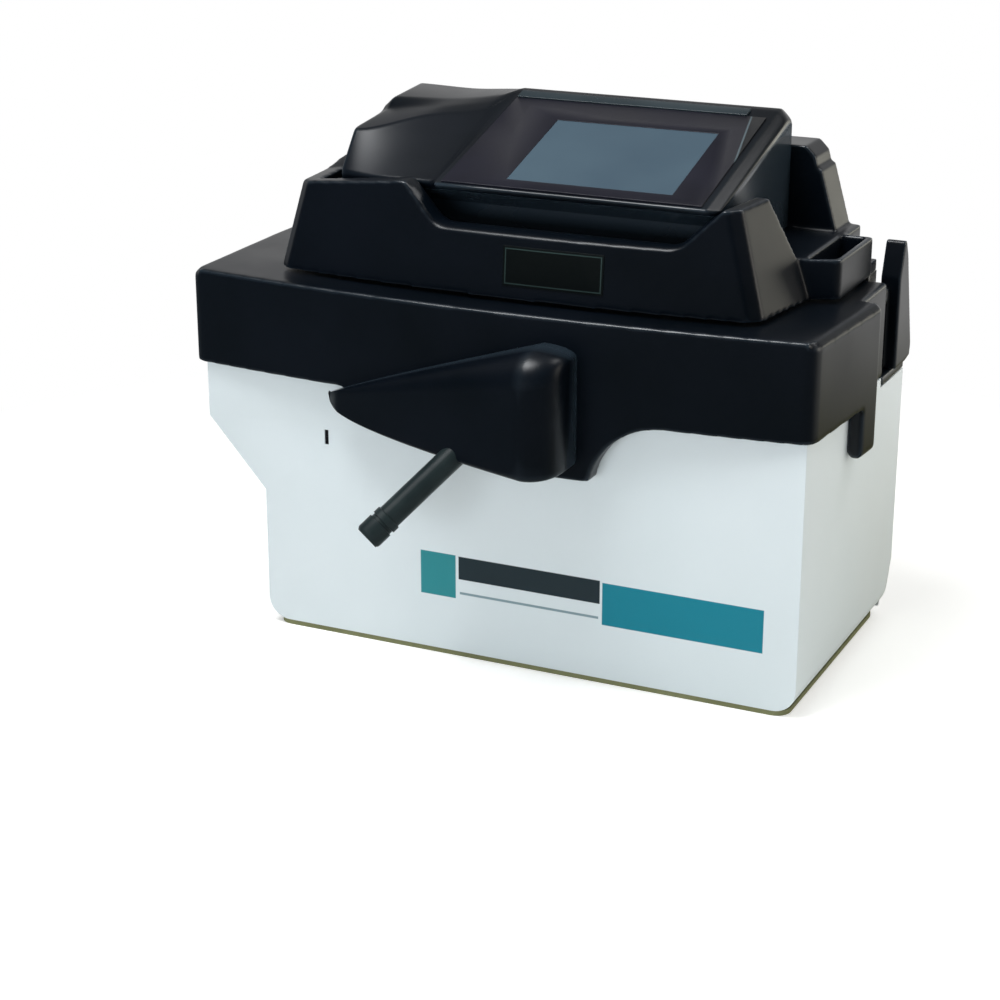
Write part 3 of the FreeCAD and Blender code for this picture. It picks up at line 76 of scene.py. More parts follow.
def newMaterial(name):
    material = bpy.data.materials.new(name)
    material.use_nodes = True
    tree = material.node_tree
    tree.nodes.clear()
    shader = addNode(tree, "ShaderNodeBsdfPrincipled")
    addNode(tree, "ShaderNodeOutputMaterial", links={"Surface": shader.outputs[0]})
    place = addNode(tree, "ShaderNodeTexCoord")
    return material, tree, shader, place.outputs["Object"]


def blendColours(tree, factor, first, second):
    # first and second are hex colours, or sockets that give a colour
    values, links = {}, {"Factor": factor}
    for socket, colour in (("A", first), ("B", second)):
        if isinstance(colour, str):
            values[socket] = linear(colour)
        else:
            links[socket] = colour
    mix = addNode(tree, "ShaderNodeMix", values, links, data_type="RGBA", clamp_factor=True)
    return mix.outputs["Result"]


def ramp(tree, source, low, high, toLow=0.0, toHigh=1.0):
    # a straight, clamped ramp between two values of the source
    return addNode(
        tree, "ShaderNodeMapRange", {"From Min": low, "From Max": high, "To Min": toLow, "To Max": toHigh},
        {"Value": source},
    ).outputs[0]


def eitherOf(tree, first, second):
    # the greater of two values
    return addNode(tree, "ShaderNodeMath", None, {0: first, 1: second}, operation="MAXIMUM").outputs[0]


def insideBox(tree, place, low, high, soft=0.2):
    # 1 inside the box between two corners, 0 outside, with a soft edge in millimetres
    middle = (spot(*low) + spot(*high)) / 2
    half = (spot(*high) - spot(*low)) / 2
    away = addNode(tree, "ShaderNodeVectorMath", {1: middle}, {0: place}, operation="SUBTRACT")
    away = addNode(tree, "ShaderNodeVectorMath", None, {0: away.outputs[0]}, operation="ABSOLUTE")
    away = addNode(tree, "ShaderNodeVectorMath", {1: half}, {0: away.outputs[0]}, operation="SUBTRACT")
    parts = addNode(tree, "ShaderNodeSeparateXYZ", None, {0: away.outputs[0]})
    most = eitherOf(tree, eitherOf(tree, parts.outputs[0], parts.outputs[1]), parts.outputs[2])
    return ramp(tree, most, soft / 1000, -soft / 1000)


# Pointiness where the painted highlight on convex edges begins, and where it is full
edgeHighlightCurve = (0.515, 0.57)


def mouldedPlastic(name, look):
    # Injection-moulded plastic: the spark-eroded grain of the mould breaks up the gloss, and colour and
    # gloss drift a little over the large faces. The grain is drawn coarser than the real 0.2 mm.
    material, tree, shader, place = newMaterial(name)
    drift = addNode(
        tree, "ShaderNodeTexNoise", {"Scale": 1000 / look["driftSize"], "Detail": 3.0}, {"Vector": place},
    ).outputs["Fac"]
    colour = blendColours(tree, ramp(tree, drift, 0.35, 0.65), look["colour"], look["colourDrift"])
    for patch in look.get("prints", []):
        inside = insideBox(tree, place, patch["low"], patch["high"])
        colour = blendColours(tree, inside, colour, patch["colour"])
    if "border" in look:
        border = look["border"]
        start, end = spot(*border["start"], 0), spot(*border["end"], 0)
        across = (end - start).cross(Vector((0, 0, -1))).normalized()
        across.z = 0
        side = addNode(tree, "ShaderNodeVectorMath", {1: start}, {0: place}, operation="SUBTRACT").outputs[0]
        side = addNode(tree, "ShaderNodeVectorMath", {1: across}, {0: side}, operation="DOT_PRODUCT")
        side = side.outputs["Value"]
        colour = blendColours(tree, ramp(tree, side, -0.0002, 0.0002), colour, border["beyond"])
        near = addNode(tree, "ShaderNodeMath", None, {0: side}, operation="ABSOLUTE").outputs[0]
        halfWidth = border["width"] / 2000
        line = ramp(tree, near, halfWidth + 0.0003, halfWidth - 0.0003)
        colour = blendColours(tree, line, colour, border["colour"])
    gloss = ramp(tree, drift, 0.3, 0.7, look["roughness"] - 0.04, look["roughness"] + 0.05)
    # Convex edges, found by pointiness, get a painted highlight: a lighter colour, with less roughness.
    if "rubbedColour" in look:
        curve = addNode(tree, "ShaderNodeNewGeometry").outputs["Pointiness"]
        edgeHighlight = ramp(tree, curve, *edgeHighlightCurve)
        colour = blendColours(tree, edgeHighlight, colour, look["rubbedColour"])
        edgeHighlightGloss = addNode(tree, "ShaderNodeMath", {1: -0.08}, {0: edgeHighlight, 2: gloss}, operation="MULTIPLY_ADD")
        gloss = edgeHighlightGloss.outputs[0]
    tree.links.new(colour, shader.inputs["Base Color"])
    tree.links.new(gloss, shader.inputs["Roughness"])
    grain = addNode(
        tree, "ShaderNodeTexNoise", {"Scale": 1000 / look["grainSize"], "Detail": 2.0}, {"Vector": place},
    )
    bump = addNode(
        tree, "ShaderNodeBump", {"Strength": look["grainStrength"], "Distance": look["grainDepth"] / 1000},
        {"Height": grain.outputs["Fac"]},
    )
    tree.links.new(bump.outputs[0], shader.inputs["Normal"])
    shader.inputs["IOR"].default_value = look["ior"]
    shader.inputs["Specular IOR Level"].default_value = look["specular"]
    # The painted edge highlight also gets more specular.
    if "rubbedColour" in look:
        shine = ramp(tree, curve, *edgeHighlightCurve, look["specular"], look["rubbedSpecular"])
        tree.links.new(shine, shader.inputs["Specular IOR Level"])
    return material


def brushedMetal(name, look):
    # Sheet or bar metal finished along one way: long fine scratches streak the reflections. The scratch
    # spacing is drawn at about 0.4 mm, as finer ones don't show.
    material, tree, shader, place = newMaterial(name)
    shader.inputs["Metallic"].default_value = 1.0
    stretch = addNode(
        tree, "ShaderNodeMapping", {"Scale": tuple(1000 / s for s in look["streak"])}, {"Vector": place},
    )
    scratch = addNode(
        tree, "ShaderNodeTexNoise", {"Scale": 1.0, "Detail": 3.0}, {"Vector": stretch.outputs[0]},
    ).outputs["Fac"]
    tree.links.new(
        blendColours(tree, ramp(tree, scratch, 0.3, 0.7), look["colour"], look["colourDrift"]),
        shader.inputs["Base Color"],
    )
    tree.links.new(
        ramp(tree, scratch, 0.3, 0.7, look["roughness"] - 0.08, look["roughness"] + 0.08),
        shader.inputs["Roughness"],
    )
    bump = addNode(tree, "ShaderNodeBump", {"Strength": 0.25, "Distance": 0.00004}, {"Height": scratch})
    tree.links.new(bump.outputs[0], shader.inputs["Normal"])
    return material


def cellFoam(name, look):
    # Closed-cell foam board: small round cells show on its cut faces, each with a darker wall.
    material, tree, shader, place = newMaterial(name)
    cells = addNode(
        tree, "ShaderNodeTexVoronoi", {"Scale": 1000 / look["cellSize"]}, {"Vector": place},
    ).outputs["Distance"]
    tree.links.new(
        blendColours(tree, ramp(tree, cells, 0.1, 0.7), look["colour"], look["wallColour"]),
        shader.inputs["Base Color"],
    )
    bump = addNode(tree, "ShaderNodeBump", {"Strength": 0.4, "Distance": 0.0002}, {"Height": cells})
    tree.links.new(bump.outputs[0], shader.inputs["Normal"])
    shader.inputs["Roughness"].default_value = 0.8
    return material


def solderMask(name, look):
    # Etched circuit board: copper tracks stand a little proud under green solder mask, and bare pads
    # are tinned.
    material, tree, shader, place = newMaterial(name)
    tracks = addNode(
        tree, "ShaderNodeTexBrick",
        {"Scale": 1000 / look["trackPitch"], "Color1": (1, 1, 1, 1), "Color2": (0.7, 0.7, 0.7, 1),
         "Mortar": (0, 0, 0, 1), "Mortar Size": 0.12, "Brick Width": 2.5, "Row Height": 0.5},
        {"Vector": place},
    ).outputs["Fac"]
    pads = addNode(
        tree, "ShaderNodeTexVoronoi", {"Scale": 1000 / look["padPitch"], "Randomness": 0.2},
        {"Vector": place},
    ).outputs["Distance"]
    colour = blendColours(tree, tracks, look["colour"], look["trackColour"])
    colour = blendColours(tree, ramp(tree, pads, 0.16, 0.12), colour, look["padColour"])
    tree.links.new(colour, shader.inputs["Base Color"])
    bump = addNode(tree, "ShaderNodeBump", {"Strength": 0.4, "Distance": 0.00008}, {"Height": tracks})
    tree.links.new(bump.outputs[0], shader.inputs["Normal"])
    shader.inputs["Roughness"].default_value = 0.35
    return material


def woundWire(name, look):
    # Enamelled copper wire in close turns: rounded ridges along the coil, with painted shade in the gaps
    # between turns. The wire is drawn at 1.6 mm, twice its real size, so that the turns show.
    material, tree, shader, place = newMaterial(name)
    shader.inputs["Metallic"].default_value = 1.0
    shader.inputs["Roughness"].default_value = 0.3
    turns = addNode(
        tree, "ShaderNodeTexWave", {"Scale": 1000 / look["pitch"] / 20 * math.pi, "Distortion": 0.15},
        {"Vector": place}, wave_type="BANDS", bands_direction="X", wave_profile="SIN",
    ).outputs["Fac"]
    # The gaps between turns are painted darker: painted shade.
    tree.links.new(blendColours(tree, turns, look["gapColour"], look["colour"]), shader.inputs["Base Color"])
    bump = addNode(tree, "ShaderNodeBump", {"Strength": 0.8, "Distance": 0.0004}, {"Height": turns})
    tree.links.new(bump.outputs[0], shader.inputs["Normal"])
    return material


def crossHead(name, look):
    # Zinc-plated screw with a cross recess, painted dark between its four walls as painted shade.
    material, tree, shader, place = newMaterial(name)
    shader.inputs["Metallic"].default_value = 1.0
    shader.inputs["Roughness"].default_value = 0.32
    away = addNode(tree, "ShaderNodeVectorMath", None, {0: place}, operation="ABSOLUTE")
    parts = addNode(tree, "ShaderNodeSeparateXYZ", None, {0: away.outputs[0]})
    least = addNode(
        tree, "ShaderNodeMath", None, {0: parts.outputs[0], 1: parts.outputs[1]}, operation="MINIMUM",
    )
    most = eitherOf(tree, parts.outputs[0], parts.outputs[1])
    halfWidth, reach = look["slotWidth"] / 2000, look["slotReach"] / 1000
    narrow = ramp(tree, least.outputs[0], halfWidth + 0.00005, halfWidth - 0.00005)
    short = ramp(tree, most, reach + 0.00005, reach - 0.00005)
    slot = addNode(tree, "ShaderNodeMath", None, {0: narrow, 1: short}, operation="MULTIPLY").outputs[0]
    # The cross recess is painted dark: painted shade.
    tree.links.new(blendColours(tree, slot, look["colour"], look["slotColour"]), shader.inputs["Base Color"])
    bump = addNode(
        tree, "ShaderNodeBump", {"Strength": 1.0, "Distance": 0.0006}, {"Height": slot}, invert=True,
    )
    tree.links.new(bump.outputs[0], shader.inputs["Normal"])
    return material


# Its convex edges get a painted highlight: they are drawn a little lighter, and glossier.
blackMoulding = mouldedPlastic("blackMouldedAbs", {
    "colour": "#030910", "colourDrift": "#060d16", "driftSize": 90, "grainSize": 0.9,
    "grainDepth": 0.05, "grainStrength": 0.12, "roughness": 0.33, "ior": 1.53, "specular": 0.28,
    "rubbedColour": "#27323b", "rubbedSpecular": 0.75,
})
# Screen-printed on the front: a teal square and a dark block that are left bare, a rule and a teal band.
printDepth = {"front": -1.0, "back": 1.0}
printRows = [
    {"left": -60.5, "right": -30.0, "bottom": 45.0, "top": 81.0, "colour": "#2a8a90"},
    {"left": -27.5, "right": 92.0, "bottom": 61.5, "top": 80.5, "colour": "#26343a"},
    {"left": -26.5, "right": 91.0, "bottom": 49.0, "top": 51.0, "colour": "#7f979d"},
    {"left": 94.0, "right": 223.0, "bottom": 44.8, "top": 79.2, "colour": "#007f92"},
]
whiteHousing = mouldedPlastic("whiteMouldedAbs", {
    "colour": "#dde5e7", "colourDrift": "#d8e1e3", "driftSize": 160, "grainSize": 0.8,
    "grainDepth": 0.05, "grainStrength": 0.25, "roughness": 0.42, "ior": 1.53, "specular": 0.35,
    "prints": [{
        "low": (row["left"], printDepth["front"], row["bottom"]),
        "high": (row["right"], printDepth["back"], row["top"]),
        "colour": row["colour"],
    } for row in printRows],
})
rubber = mouldedPlastic("mouldedRubber", {
    "colour": "#17191b", "colourDrift": "#1e2123", "driftSize": 30, "grainSize": 0.5,
    "grainDepth": 0.05, "grainStrength": 0.3, "roughness": 0.62, "ior": 1.5, "specular": 0.3,
})
ventRubber = mouldedPlastic("extrudedRubber", {
    "colour": "#1a2426", "colourDrift": "#222d2e", "driftSize": 25, "grainSize": 0.7,
    "grainDepth": 0.04, "grainStrength": 0.3, "roughness": 0.36, "ior": 1.5, "specular": 0.4,
})
screenGlass = mouldedPlastic("etchedTouchGlass", {
    "colour": "#40525f", "colourDrift": "#475a66", "driftSize": 110, "grainSize": 0.4,
    "grainDepth": 0.01, "grainStrength": 0.1, "roughness": 0.35, "ior": 1.5, "specular": 0.2,
})
bezelFilm = mouldedPlastic("printedPolyesterFilm", {
    "colour": "#16161f", "colourDrift": "#1b1b26", "driftSize": 60, "grainSize": 0.5,
    "grainDepth": 0.02, "grainStrength": 0.2, "roughness": 0.33, "ior": 1.58, "specular": 0.2,
    "border": {"start": (140, 184), "end": (168, 25), "width": 1.3, "colour": "#55646a", "beyond": "#05090f"},
})
trimPaint = mouldedPlastic("greyPaintedAbs", {
    "colour": "#232d32", "colourDrift": "#2b363b", "driftSize": 60, "grainSize": 0.5,
    "grainDepth": 0.02, "grainStrength": 0.15, "roughness": 0.28, "ior": 1.5, "specular": 0.4,
})
# A thin border is printed on the label, which is left bare.
labelPlace = {
    "left": 7.0, "right": 87.0, "bottom": 300.0, "top": 330.0, "front": 0.0, "back": 20.0, "line": 0.8,
}
labelInset = [1.6, 1.6 + labelPlace["line"]]
labelFilm = mouldedPlastic("blackLabelFilm", {
    "colour": "#070d0d", "colourDrift": "#0a1112", "driftSize": 40, "grainSize": 0.5,
    "grainDepth": 0.02, "grainStrength": 0.2, "roughness": 0.42, "ior": 1.58, "specular": 0.16,
    "prints": [{
        "low": (labelPlace["left"] + inset, labelPlace["front"], labelPlace["bottom"] + inset),
        "high": (labelPlace["right"] - inset, labelPlace["back"], labelPlace["top"] - inset),
        "colour": colour,
    } for inset, colour in zip(labelInset, ("#2c3c3a", "#070d0d"))],
})
darkLens = mouldedPlastic("smokedLens", {
    "colour": "#0c0a0c", "colourDrift": "#100d10", "driftSize": 10, "grainSize": 0.3,
    "grainDepth": 0.01, "grainStrength": 0.1, "roughness": 0.12, "ior": 1.49, "specular": 0.5,
})
socketPlastic = mouldedPlastic("blackMouldedPolyamide", {
    "colour": "#101113", "colourDrift": "#16171a", "driftSize": 20, "grainSize": 0.5,
    "grainDepth": 0.03, "grainStrength": 0.3, "roughness": 0.45, "ior": 1.53, "specular": 0.3,
})
rockerPlastic = mouldedPlastic("glossBlackRocker", {
    "colour": "#0a0a0b", "colourDrift": "#0e0e10", "driftSize": 12, "grainSize": 0.4,
    "grainDepth": 0.01, "grainStrength": 0.1, "roughness": 0.16, "ior": 1.53, "specular": 0.45,
})
canSleeve = mouldedPlastic("shrunkPvcSleeve", {
    "colour": "#1e2f4f", "colourDrift": "#243658", "driftSize": 30, "grainSize": 2.0,
    "grainDepth": 0.04, "grainStrength": 0.2, "roughness": 0.22, "ior": 1.54, "specular": 0.5,
})
powderCoat = mouldedPlastic("powderCoatedSteel", {
    "colour": "#d3d8d8", "colourDrift": "#ccd1d1", "driftSize": 90, "grainSize": 2.2,
    "grainDepth": 0.08, "grainStrength": 0.45, "roughness": 0.5, "ior": 1.5, "specular": 0.4,
})
glassTube = mouldedPlastic("glassFilledEpoxyTube", {
    "colour": "#cfc08a", "colourDrift": "#d9cc9b", "driftSize": 6, "grainSize": 1.2,
    "grainDepth": 0.05, "grainStrength": 0.4, "roughness": 0.45, "ior": 1.55, "specular": 0.4,
})
stainless = brushedMetal("brushedStainlessSteel", {
    "colour": "#b9b8b3", "colourDrift": "#cbcac6", "streak": (8.0, 0.4, 0.4), "roughness": 0.32,
})
boxMetal = brushedMetal("galvanisedSheet", {
    "colour": "#a9adb0", "colourDrift": "#bfc3c5", "streak": (9.0, 9.0, 7.0), "roughness": 0.42,
})
foam = cellFoam("closedCellFoam", {"colour": "#e8e6dc", "wallColour": "#d3d0c2", "cellSize": 2.2})
board = solderMask("greenSolderMask", {
    "colour": "#0f4a2a", "trackColour": "#1c6a3c", "padColour": "#c9c6b8", "trackPitch": 5.0, "padPitch": 6.0,
})
copper = woundWire("enamelledCopperWire", {"colour": "#b8683a", "gapColour": "#5a2a14", "pitch": 1.6})
screwZinc = crossHead("zincPlatedSteel", {
    "colour": "#bfc0be", "slotColour": "#1c1c1c", "slotWidth": 0.9, "slotReach": 2.1,
})
# Dark olive finish of the strip under the housing: painted shade of the gap there.
gapShadeFinish = mouldedPlastic("mouldedEdgeSeal", {
    "colour": "#777956", "colourDrift": "#81835f", "driftSize": 60, "grainSize": 0.6,
    "grainDepth": 0.04, "grainStrength": 0.3, "roughness": 0.6, "ior": 1.5, "specular": 0.2,
})
finishes = {
    "white_housing": whiteHousing, "lamp_lens": darkLens, "coated_steel": powderCoat, "rubber_foot": rubber,
    "black_socket": socketPlastic, "black_rocker": rockerPlastic, "black_moulding": blackMoulding,
    "vent_hose": ventRubber, "stainless_steel": stainless, "white_foam": foam, "gasket_rubber": rubber,
    "metal_box": boxMetal, "capacitor_can": canSleeve, "circuit_board": board, "bezel_panel": bezelFilm,
    "screen_glass": screenGlass, "grey_trim": trimPaint, "label_film": labelFilm, "coil_former": glassTube,
    "copper_winding": copper,
}
slots = {row["node"]: row["material_slot"] for row in frame["record"]["subparts"]}
for name, node in nodes.items():
    node.data.materials.clear()
    node.data.materials.append(finishes[slots[name]])
print("materials made:", len(bpy.data.materials))


def solidBetween(mesh, rings):
    # a closed solid through rings with as many points each
    rows = [[mesh.verts.new(point) for point in ring] for ring in rings]
    count = len(rows[0])
    faces = [
        mesh.faces.new((low[n], low[(n + 1) % count], high[(n + 1) % count], high[n]))
        for low, high in zip(rows, rows[1:]) for n in range(count)
    ]
    faces += [mesh.faces.new(list(reversed(rows[0]))), mesh.faces.new(rows[-1])]
    bmesh.ops.recalc_face_normals(mesh, faces=faces)


def newPiece(name, mesh, body, slot):
    # an object from mesh code, with its material, on the body that carries it
    data = bpy.data.meshes.new(name)
    mesh.to_mesh(data)
    mesh.free()
    piece = bpy.data.objects.new(name, data)
    bpy.context.collection.objects.link(piece)
    data.materials.append(finishes[slot])
    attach(piece, body)
    return piece


# The deck's bowed front edge is crisper than its solid's flat bevel, so the bevel is filled before the
# whole is smoothed.
deckBow = {"middle": -2.5, "half": 257.5, "reach": 3, "bow": 17}
deckEdge = {"left": -252, "right": 249, "low": 280, "high": 286.9, "inset": 0.1, "depth": 9, "steps": 40}


def deckFace(x):
    # the bowed front face of the deck at a place across it
    return -deckBow["reach"] - deckBow["bow"] * (1 - ((x - deckBow["middle"]) / deckBow["half"]) ** 2)


deckMesh = bmesh.new()
deckMesh.from_mesh(nodes["deck"].data)
edgeRings = []
for step in range(deckEdge["steps"] + 1):
    x = deckEdge["left"] + (deckEdge["right"] - deckEdge["left"]) * step / deckEdge["steps"]
    face = deckFace(x) + deckEdge["inset"]
    behind = face + deckEdge["depth"]
    edgeRings.append([
        spot(x, face, deckEdge["low"]), spot(x, face, deckEdge["high"]),
        spot(x, behind, deckEdge["high"]), spot(x, behind, deckEdge["low"]),
    ])
solidBetween(deckMesh, edgeRings)
deckCover = newPiece("deckCover", deckMesh, "base", "black_moulding")
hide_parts("deck")

# The lid's cavity is square and its outer corners are cut flat, so the wall there gets a thicker corner,
# and the foam plug inside gets cut corners that clear it.
lidCorner = {
    "left": -193, "right": 205, "front": 17, "lean": 6, "taper": 21, "cut": 9, "reach": 24, "flare": 1.8,
    "base": 290, "rise": 79, "low": 290.6, "high": 321,
}
lidMesh = bmesh.new()
lidMesh.from_mesh(nodes["lid_shell"].data)
for sideWay, baseEdge in ((1, lidCorner["right"]), (-1, lidCorner["left"])):
    rings = []
    for z in (lidCorner["low"], lidCorner["high"]):
        share = (z - lidCorner["base"]) / lidCorner["rise"]
        edge = baseEdge - lidCorner["taper"] * share * sideWay
        front = lidCorner["front"] + lidCorner["lean"] * share
        inner = edge - lidCorner["reach"] * sideWay
        rings.append([
            spot(edge, front + lidCorner["cut"], z), spot(edge - lidCorner["cut"] * sideWay, front, z),
            spot(inner, front, z), spot(inner, front + lidCorner["reach"], z),
            spot(edge + lidCorner["flare"] * sideWay, front + lidCorner["reach"], z),
        ])
    solidBetween(lidMesh, rings)

# The rim of the hand-grip cut-out is crowned: an arch across the wall's top, swept down one slant, along
# the bottom and up the other.
gripRim = {
    "path": ((-86, 369), (-80, 369), (-51, 337), (142, 337), (175, 369), (178, 369)), "corner": 9,
    "cornerSteps": 5, "pitch": 8, "back": 33.6, "crown": 3.2, "sink": 3, "skirt": 0.6, "under": 0.3,
    "inset": 0.4, "fullness": 0.75, "arch": 9, "fade": 14, "bow": 11, "shift": 6, "halfBase": 190,
}


def lidFront(x, z):
    # the lid's bowed, leaning front face at a place across it and up it
    share = (z - lidCorner["base"]) / lidCorner["rise"]
    across = (x - gripRim["shift"]) / (gripRim["halfBase"] - lidCorner["taper"] * share)
    return lidCorner["front"] + lidCorner["lean"] * share - gripRim["bow"] * (1 - across ** 2)


def softPath(corners, radius, steps):
    # a path through the corners, with each inner corner replaced by a short curve
    path = [Vector(corners[0])]
    for before, here, after in zip(corners, corners[1:], corners[2:]):
        before, here, after = Vector(before), Vector(here), Vector(after)
        start = here + (before - here).normalized() * min(radius, (before - here).length * 0.45)
        end = here + (after - here).normalized() * min(radius, (after - here).length * 0.45)
        for step in range(steps + 1):
            t = step / steps
            path.append(start * (1 - t) ** 2 + here * 2 * t * (1 - t) + end * t * t)
    return path + [Vector(corners[-1])]


rimPath = []
softened = softPath(gripRim["path"], gripRim["corner"], gripRim["cornerSteps"])
for before, after in zip(softened, softened[1:]):
    pieces = max(1, round((after - before).length / gripRim["pitch"]))
    rimPath += [before.lerp(after, n / pieces) for n in range(pieces)]
rimPath.append(Vector(gripRim["path"][-1]))
rimRings = []
for n, here in enumerate(rimPath):
    along = (rimPath[min(n + 1, len(rimPath) - 1)] - rimPath[max(n - 1, 0)]).normalized()
    upward = Vector((-along.y, along.x))
    toEnd = min((here - rimPath[0]).length, (here - rimPath[-1]).length)
    height = gripRim["crown"] * min(1, toEnd / gripRim["fade"]) - gripRim["under"]
    front = lidFront(here.x, here.y) + gripRim["inset"]
    ring = [(front, -gripRim["sink"]), (front, -gripRim["skirt"])]
    for step in range(gripRim["arch"] + 1):
        share = step / gripRim["arch"]
        arch = height * math.sin(math.pi * share) ** gripRim["fullness"]
        ring.append((front + (gripRim["back"] - front) * share, arch))
    ring += [(gripRim["back"], -gripRim["skirt"]), (gripRim["back"], -gripRim["sink"])]
    rimRings.append([spot(here.x + upward.x * lift, y, here.y + upward.y * lift) for y, lift in ring])
solidBetween(lidMesh, rimRings)
lidCover = newPiece("lidCover", lidMesh, "lid", "black_moulding")
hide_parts("lid_shell")

# Foam plug of the lid: a broad plate with a block under it that dips into the tub
plug = {
    "left": -187, "right": 199, "front": 23, "back": 220, "low": 290, "high": 314, "cut": 14, "drop": 263,
    "half": 114, "bodyFront": 51, "bodyBack": 162, "round": 4,
}
plugMesh = bmesh.new()
solidBetween(plugMesh, [[
    spot(plug["left"] + plug["cut"], plug["front"], z), spot(plug["right"] - plug["cut"], plug["front"], z),
    spot(plug["right"], plug["front"] + plug["cut"], z), spot(plug["right"], plug["back"], z),
    spot(plug["left"], plug["back"], z), spot(plug["left"], plug["front"] + plug["cut"], z),
] for z in (plug["low"], plug["high"])])
blockLevels = ((plug["drop"], plug["round"]), (plug["drop"] + plug["round"], 0), (plug["low"] + 1, 0))
solidBetween(plugMesh, [[
    spot(-plug["half"] + inset, plug["bodyFront"] + inset, z),
    spot(plug["half"] - inset, plug["bodyFront"] + inset, z),
    spot(plug["half"] - inset, plug["bodyBack"] - inset, z),
    spot(-plug["half"] + inset, plug["bodyBack"] - inset, z),
] for z, inset in blockLevels])
lidPlug = newPiece("lidPlug", plugMesh, "lid", "white_foam")
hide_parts("lid_insulation")
print("lid and plug drawn")

# The black shells are drawn again as fine meshes whose edges are smoothed round, as a moulding's are.
# Cells are in millimetres.
shells = {**nodes, "lidCover": lidCover, "deckCover": deckCover}
softShells = {
    "lidCover": {"cell": 1.5, "passes": 9}, "deckCover": {"cell": 1.8, "passes": 5},
    "hinge_post_right": {"cell": 1.0, "passes": 10}, "hinge_post_left": {"cell": 1.0, "passes": 10},
    "rear_cover": {"cell": 2.0, "passes": 5},
}
for name, look in softShells.items():
    remesh = shells[name].modifiers.new("remesh", "REMESH")
    remesh.mode = "VOXEL"
    remesh.voxel_size = look["cell"] / 1000
    remesh.use_smooth_shade = True
    smooth = shells[name].modifiers.new("smooth", "SMOOTH")
    smooth.factor = 0.5
    smooth.iterations = look["passes"]
print("shells softened:", len(softShells))

# Softened edges on the other parts, in millimetres
edgeRounds = {
    "housing_shell": 1.2, "display_bezel": 0.4, "panel_trim": 0.5, "label_plate": 0.15, "power_inlet": 0.4,
    "switch_frame": 0.4, "rocker_switch": 0.5, "hinge_arm_right": 0.6, "hinge_arm_left": 0.6,
    "coil_plate_right": 0.6, "coil_plate_left": 0.6, "vial_latch": 0.5,
    "foot_front_left": 0.5, "foot_front_right": 0.5, "foot_rear_left": 0.5, "foot_rear_right": 0.5,
}
edgeLimits = {"weld": 0.00001, "flat": math.radians(0.6), "sharp": math.radians(28), "segments": 3}
for name, radius in edgeRounds.items():
    node = nodes[name]
    weld = node.modifiers.new("weld", "WELD")
    weld.merge_threshold = edgeLimits["weld"]
    flat = node.modifiers.new("flat", "DECIMATE")
    flat.decimate_type = "DISSOLVE"
    flat.angle_limit = edgeLimits["flat"]
    bevel = node.modifiers.new("bevel", "BEVEL")
    bevel.width = radius / 1000
    bevel.segments = edgeLimits["segments"]
    bevel.limit_method = "ANGLE"
    bevel.angle_limit = edgeLimits["sharp"]
    bevel.harden_normals = True
    for face in node.data.polygons:
        face.use_smooth = True
    node.data.set_sharp_from_angle(angle=edgeLimits["sharp"])
print("edges rounded:", len(edgeRounds))


def skin(name, rings, body, slot, sharp=38):
    # closed rings with as many points each, joined into one smooth surface with a face across each end
    mesh = bmesh.new()
    solidBetween(mesh, rings)
    piece = newPiece(name, mesh, body, slot)
    for face in piece.data.polygons:
        face.use_smooth = True
    piece.data.set_sharp_from_angle(angle=math.radians(sharp))
    return piece


# Teardrop cover on the front, drawn finer than its solid so that its swelling is smooth
nose = {
    "left": -130, "right": 79, "low": 173, "height": 95, "reach": 45, "tip": 205, "endRound": 26,
    "deckFront": -20, "crown": 0.55, "heel": 0.15, "tipBlend": 0.06,
    "highPower": 0.9, "lowPower": 0.35, "reachPower": 0.8, "sections": 40, "crowding": 1.6, "endSections": 12,
}


def noseRing(x, low, high, reach):
    # one section across the cover: heel, front and crown, with its back just inside the deck
    front = nose["deckFront"] - reach
    crown, heel = reach * nose["crown"], reach * nose["heel"]
    back = deckFace(x) + 1
    outline = [(back, low)]
    for step in range(7):
        turn = math.pi / 2 * step / 6
        outline.append((front + heel * (1 - math.sin(turn)), low + heel * (1 - math.cos(turn))))
    for step in range(4):
        outline.append((front, low + heel + (high - crown - low - heel) * (step + 1) / 5))
    for step in range(13):
        turn = math.pi / 2 * step / 12
        outline.append((front + crown * (1 - math.cos(turn)), high - crown * (1 - math.sin(turn))))
    outline.append((back, high))
    return [spot(x, min(y, back), z) for y, z in outline]


noseRings = []
span = nose["right"] - nose["left"] - nose["endRound"]
for step in range(1, nose["sections"] + 1):
    share = (step / nose["sections"]) ** nose["crowding"]
    x = nose["left"] + span * share
    reach = nose["reach"] * share ** nose["reachPower"]
    blend = min(1.0, share / nose["tipBlend"])
    reach -= (nose["deckFront"] - deckFace(x)) * (blend - 1) * 0.9
    noseRings.append(noseRing(
        x, nose["tip"] + (nose["low"] - nose["tip"]) * share ** nose["lowPower"],
        nose["tip"] + (nose["low"] + nose["height"] - nose["tip"]) * share ** nose["highPower"], reach,
    ))
for step in range(1, nose["endSections"] + 1):
    turn = math.pi / 2 * step / (nose["endSections"] + 0.4)
    sunk = nose["endRound"] * (1 - math.cos(turn))
    noseRings.append(noseRing(
        nose["right"] - nose["endRound"] * (1 - math.sin(turn)), nose["low"] + sunk / 4,
        nose["low"] + nose["height"] - sunk / 3, nose["reach"] - sunk,
    ))
noseCover = skin("noseCover", noseRings, "base", "black_moulding")
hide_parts("nose_cover")
print("nose made")

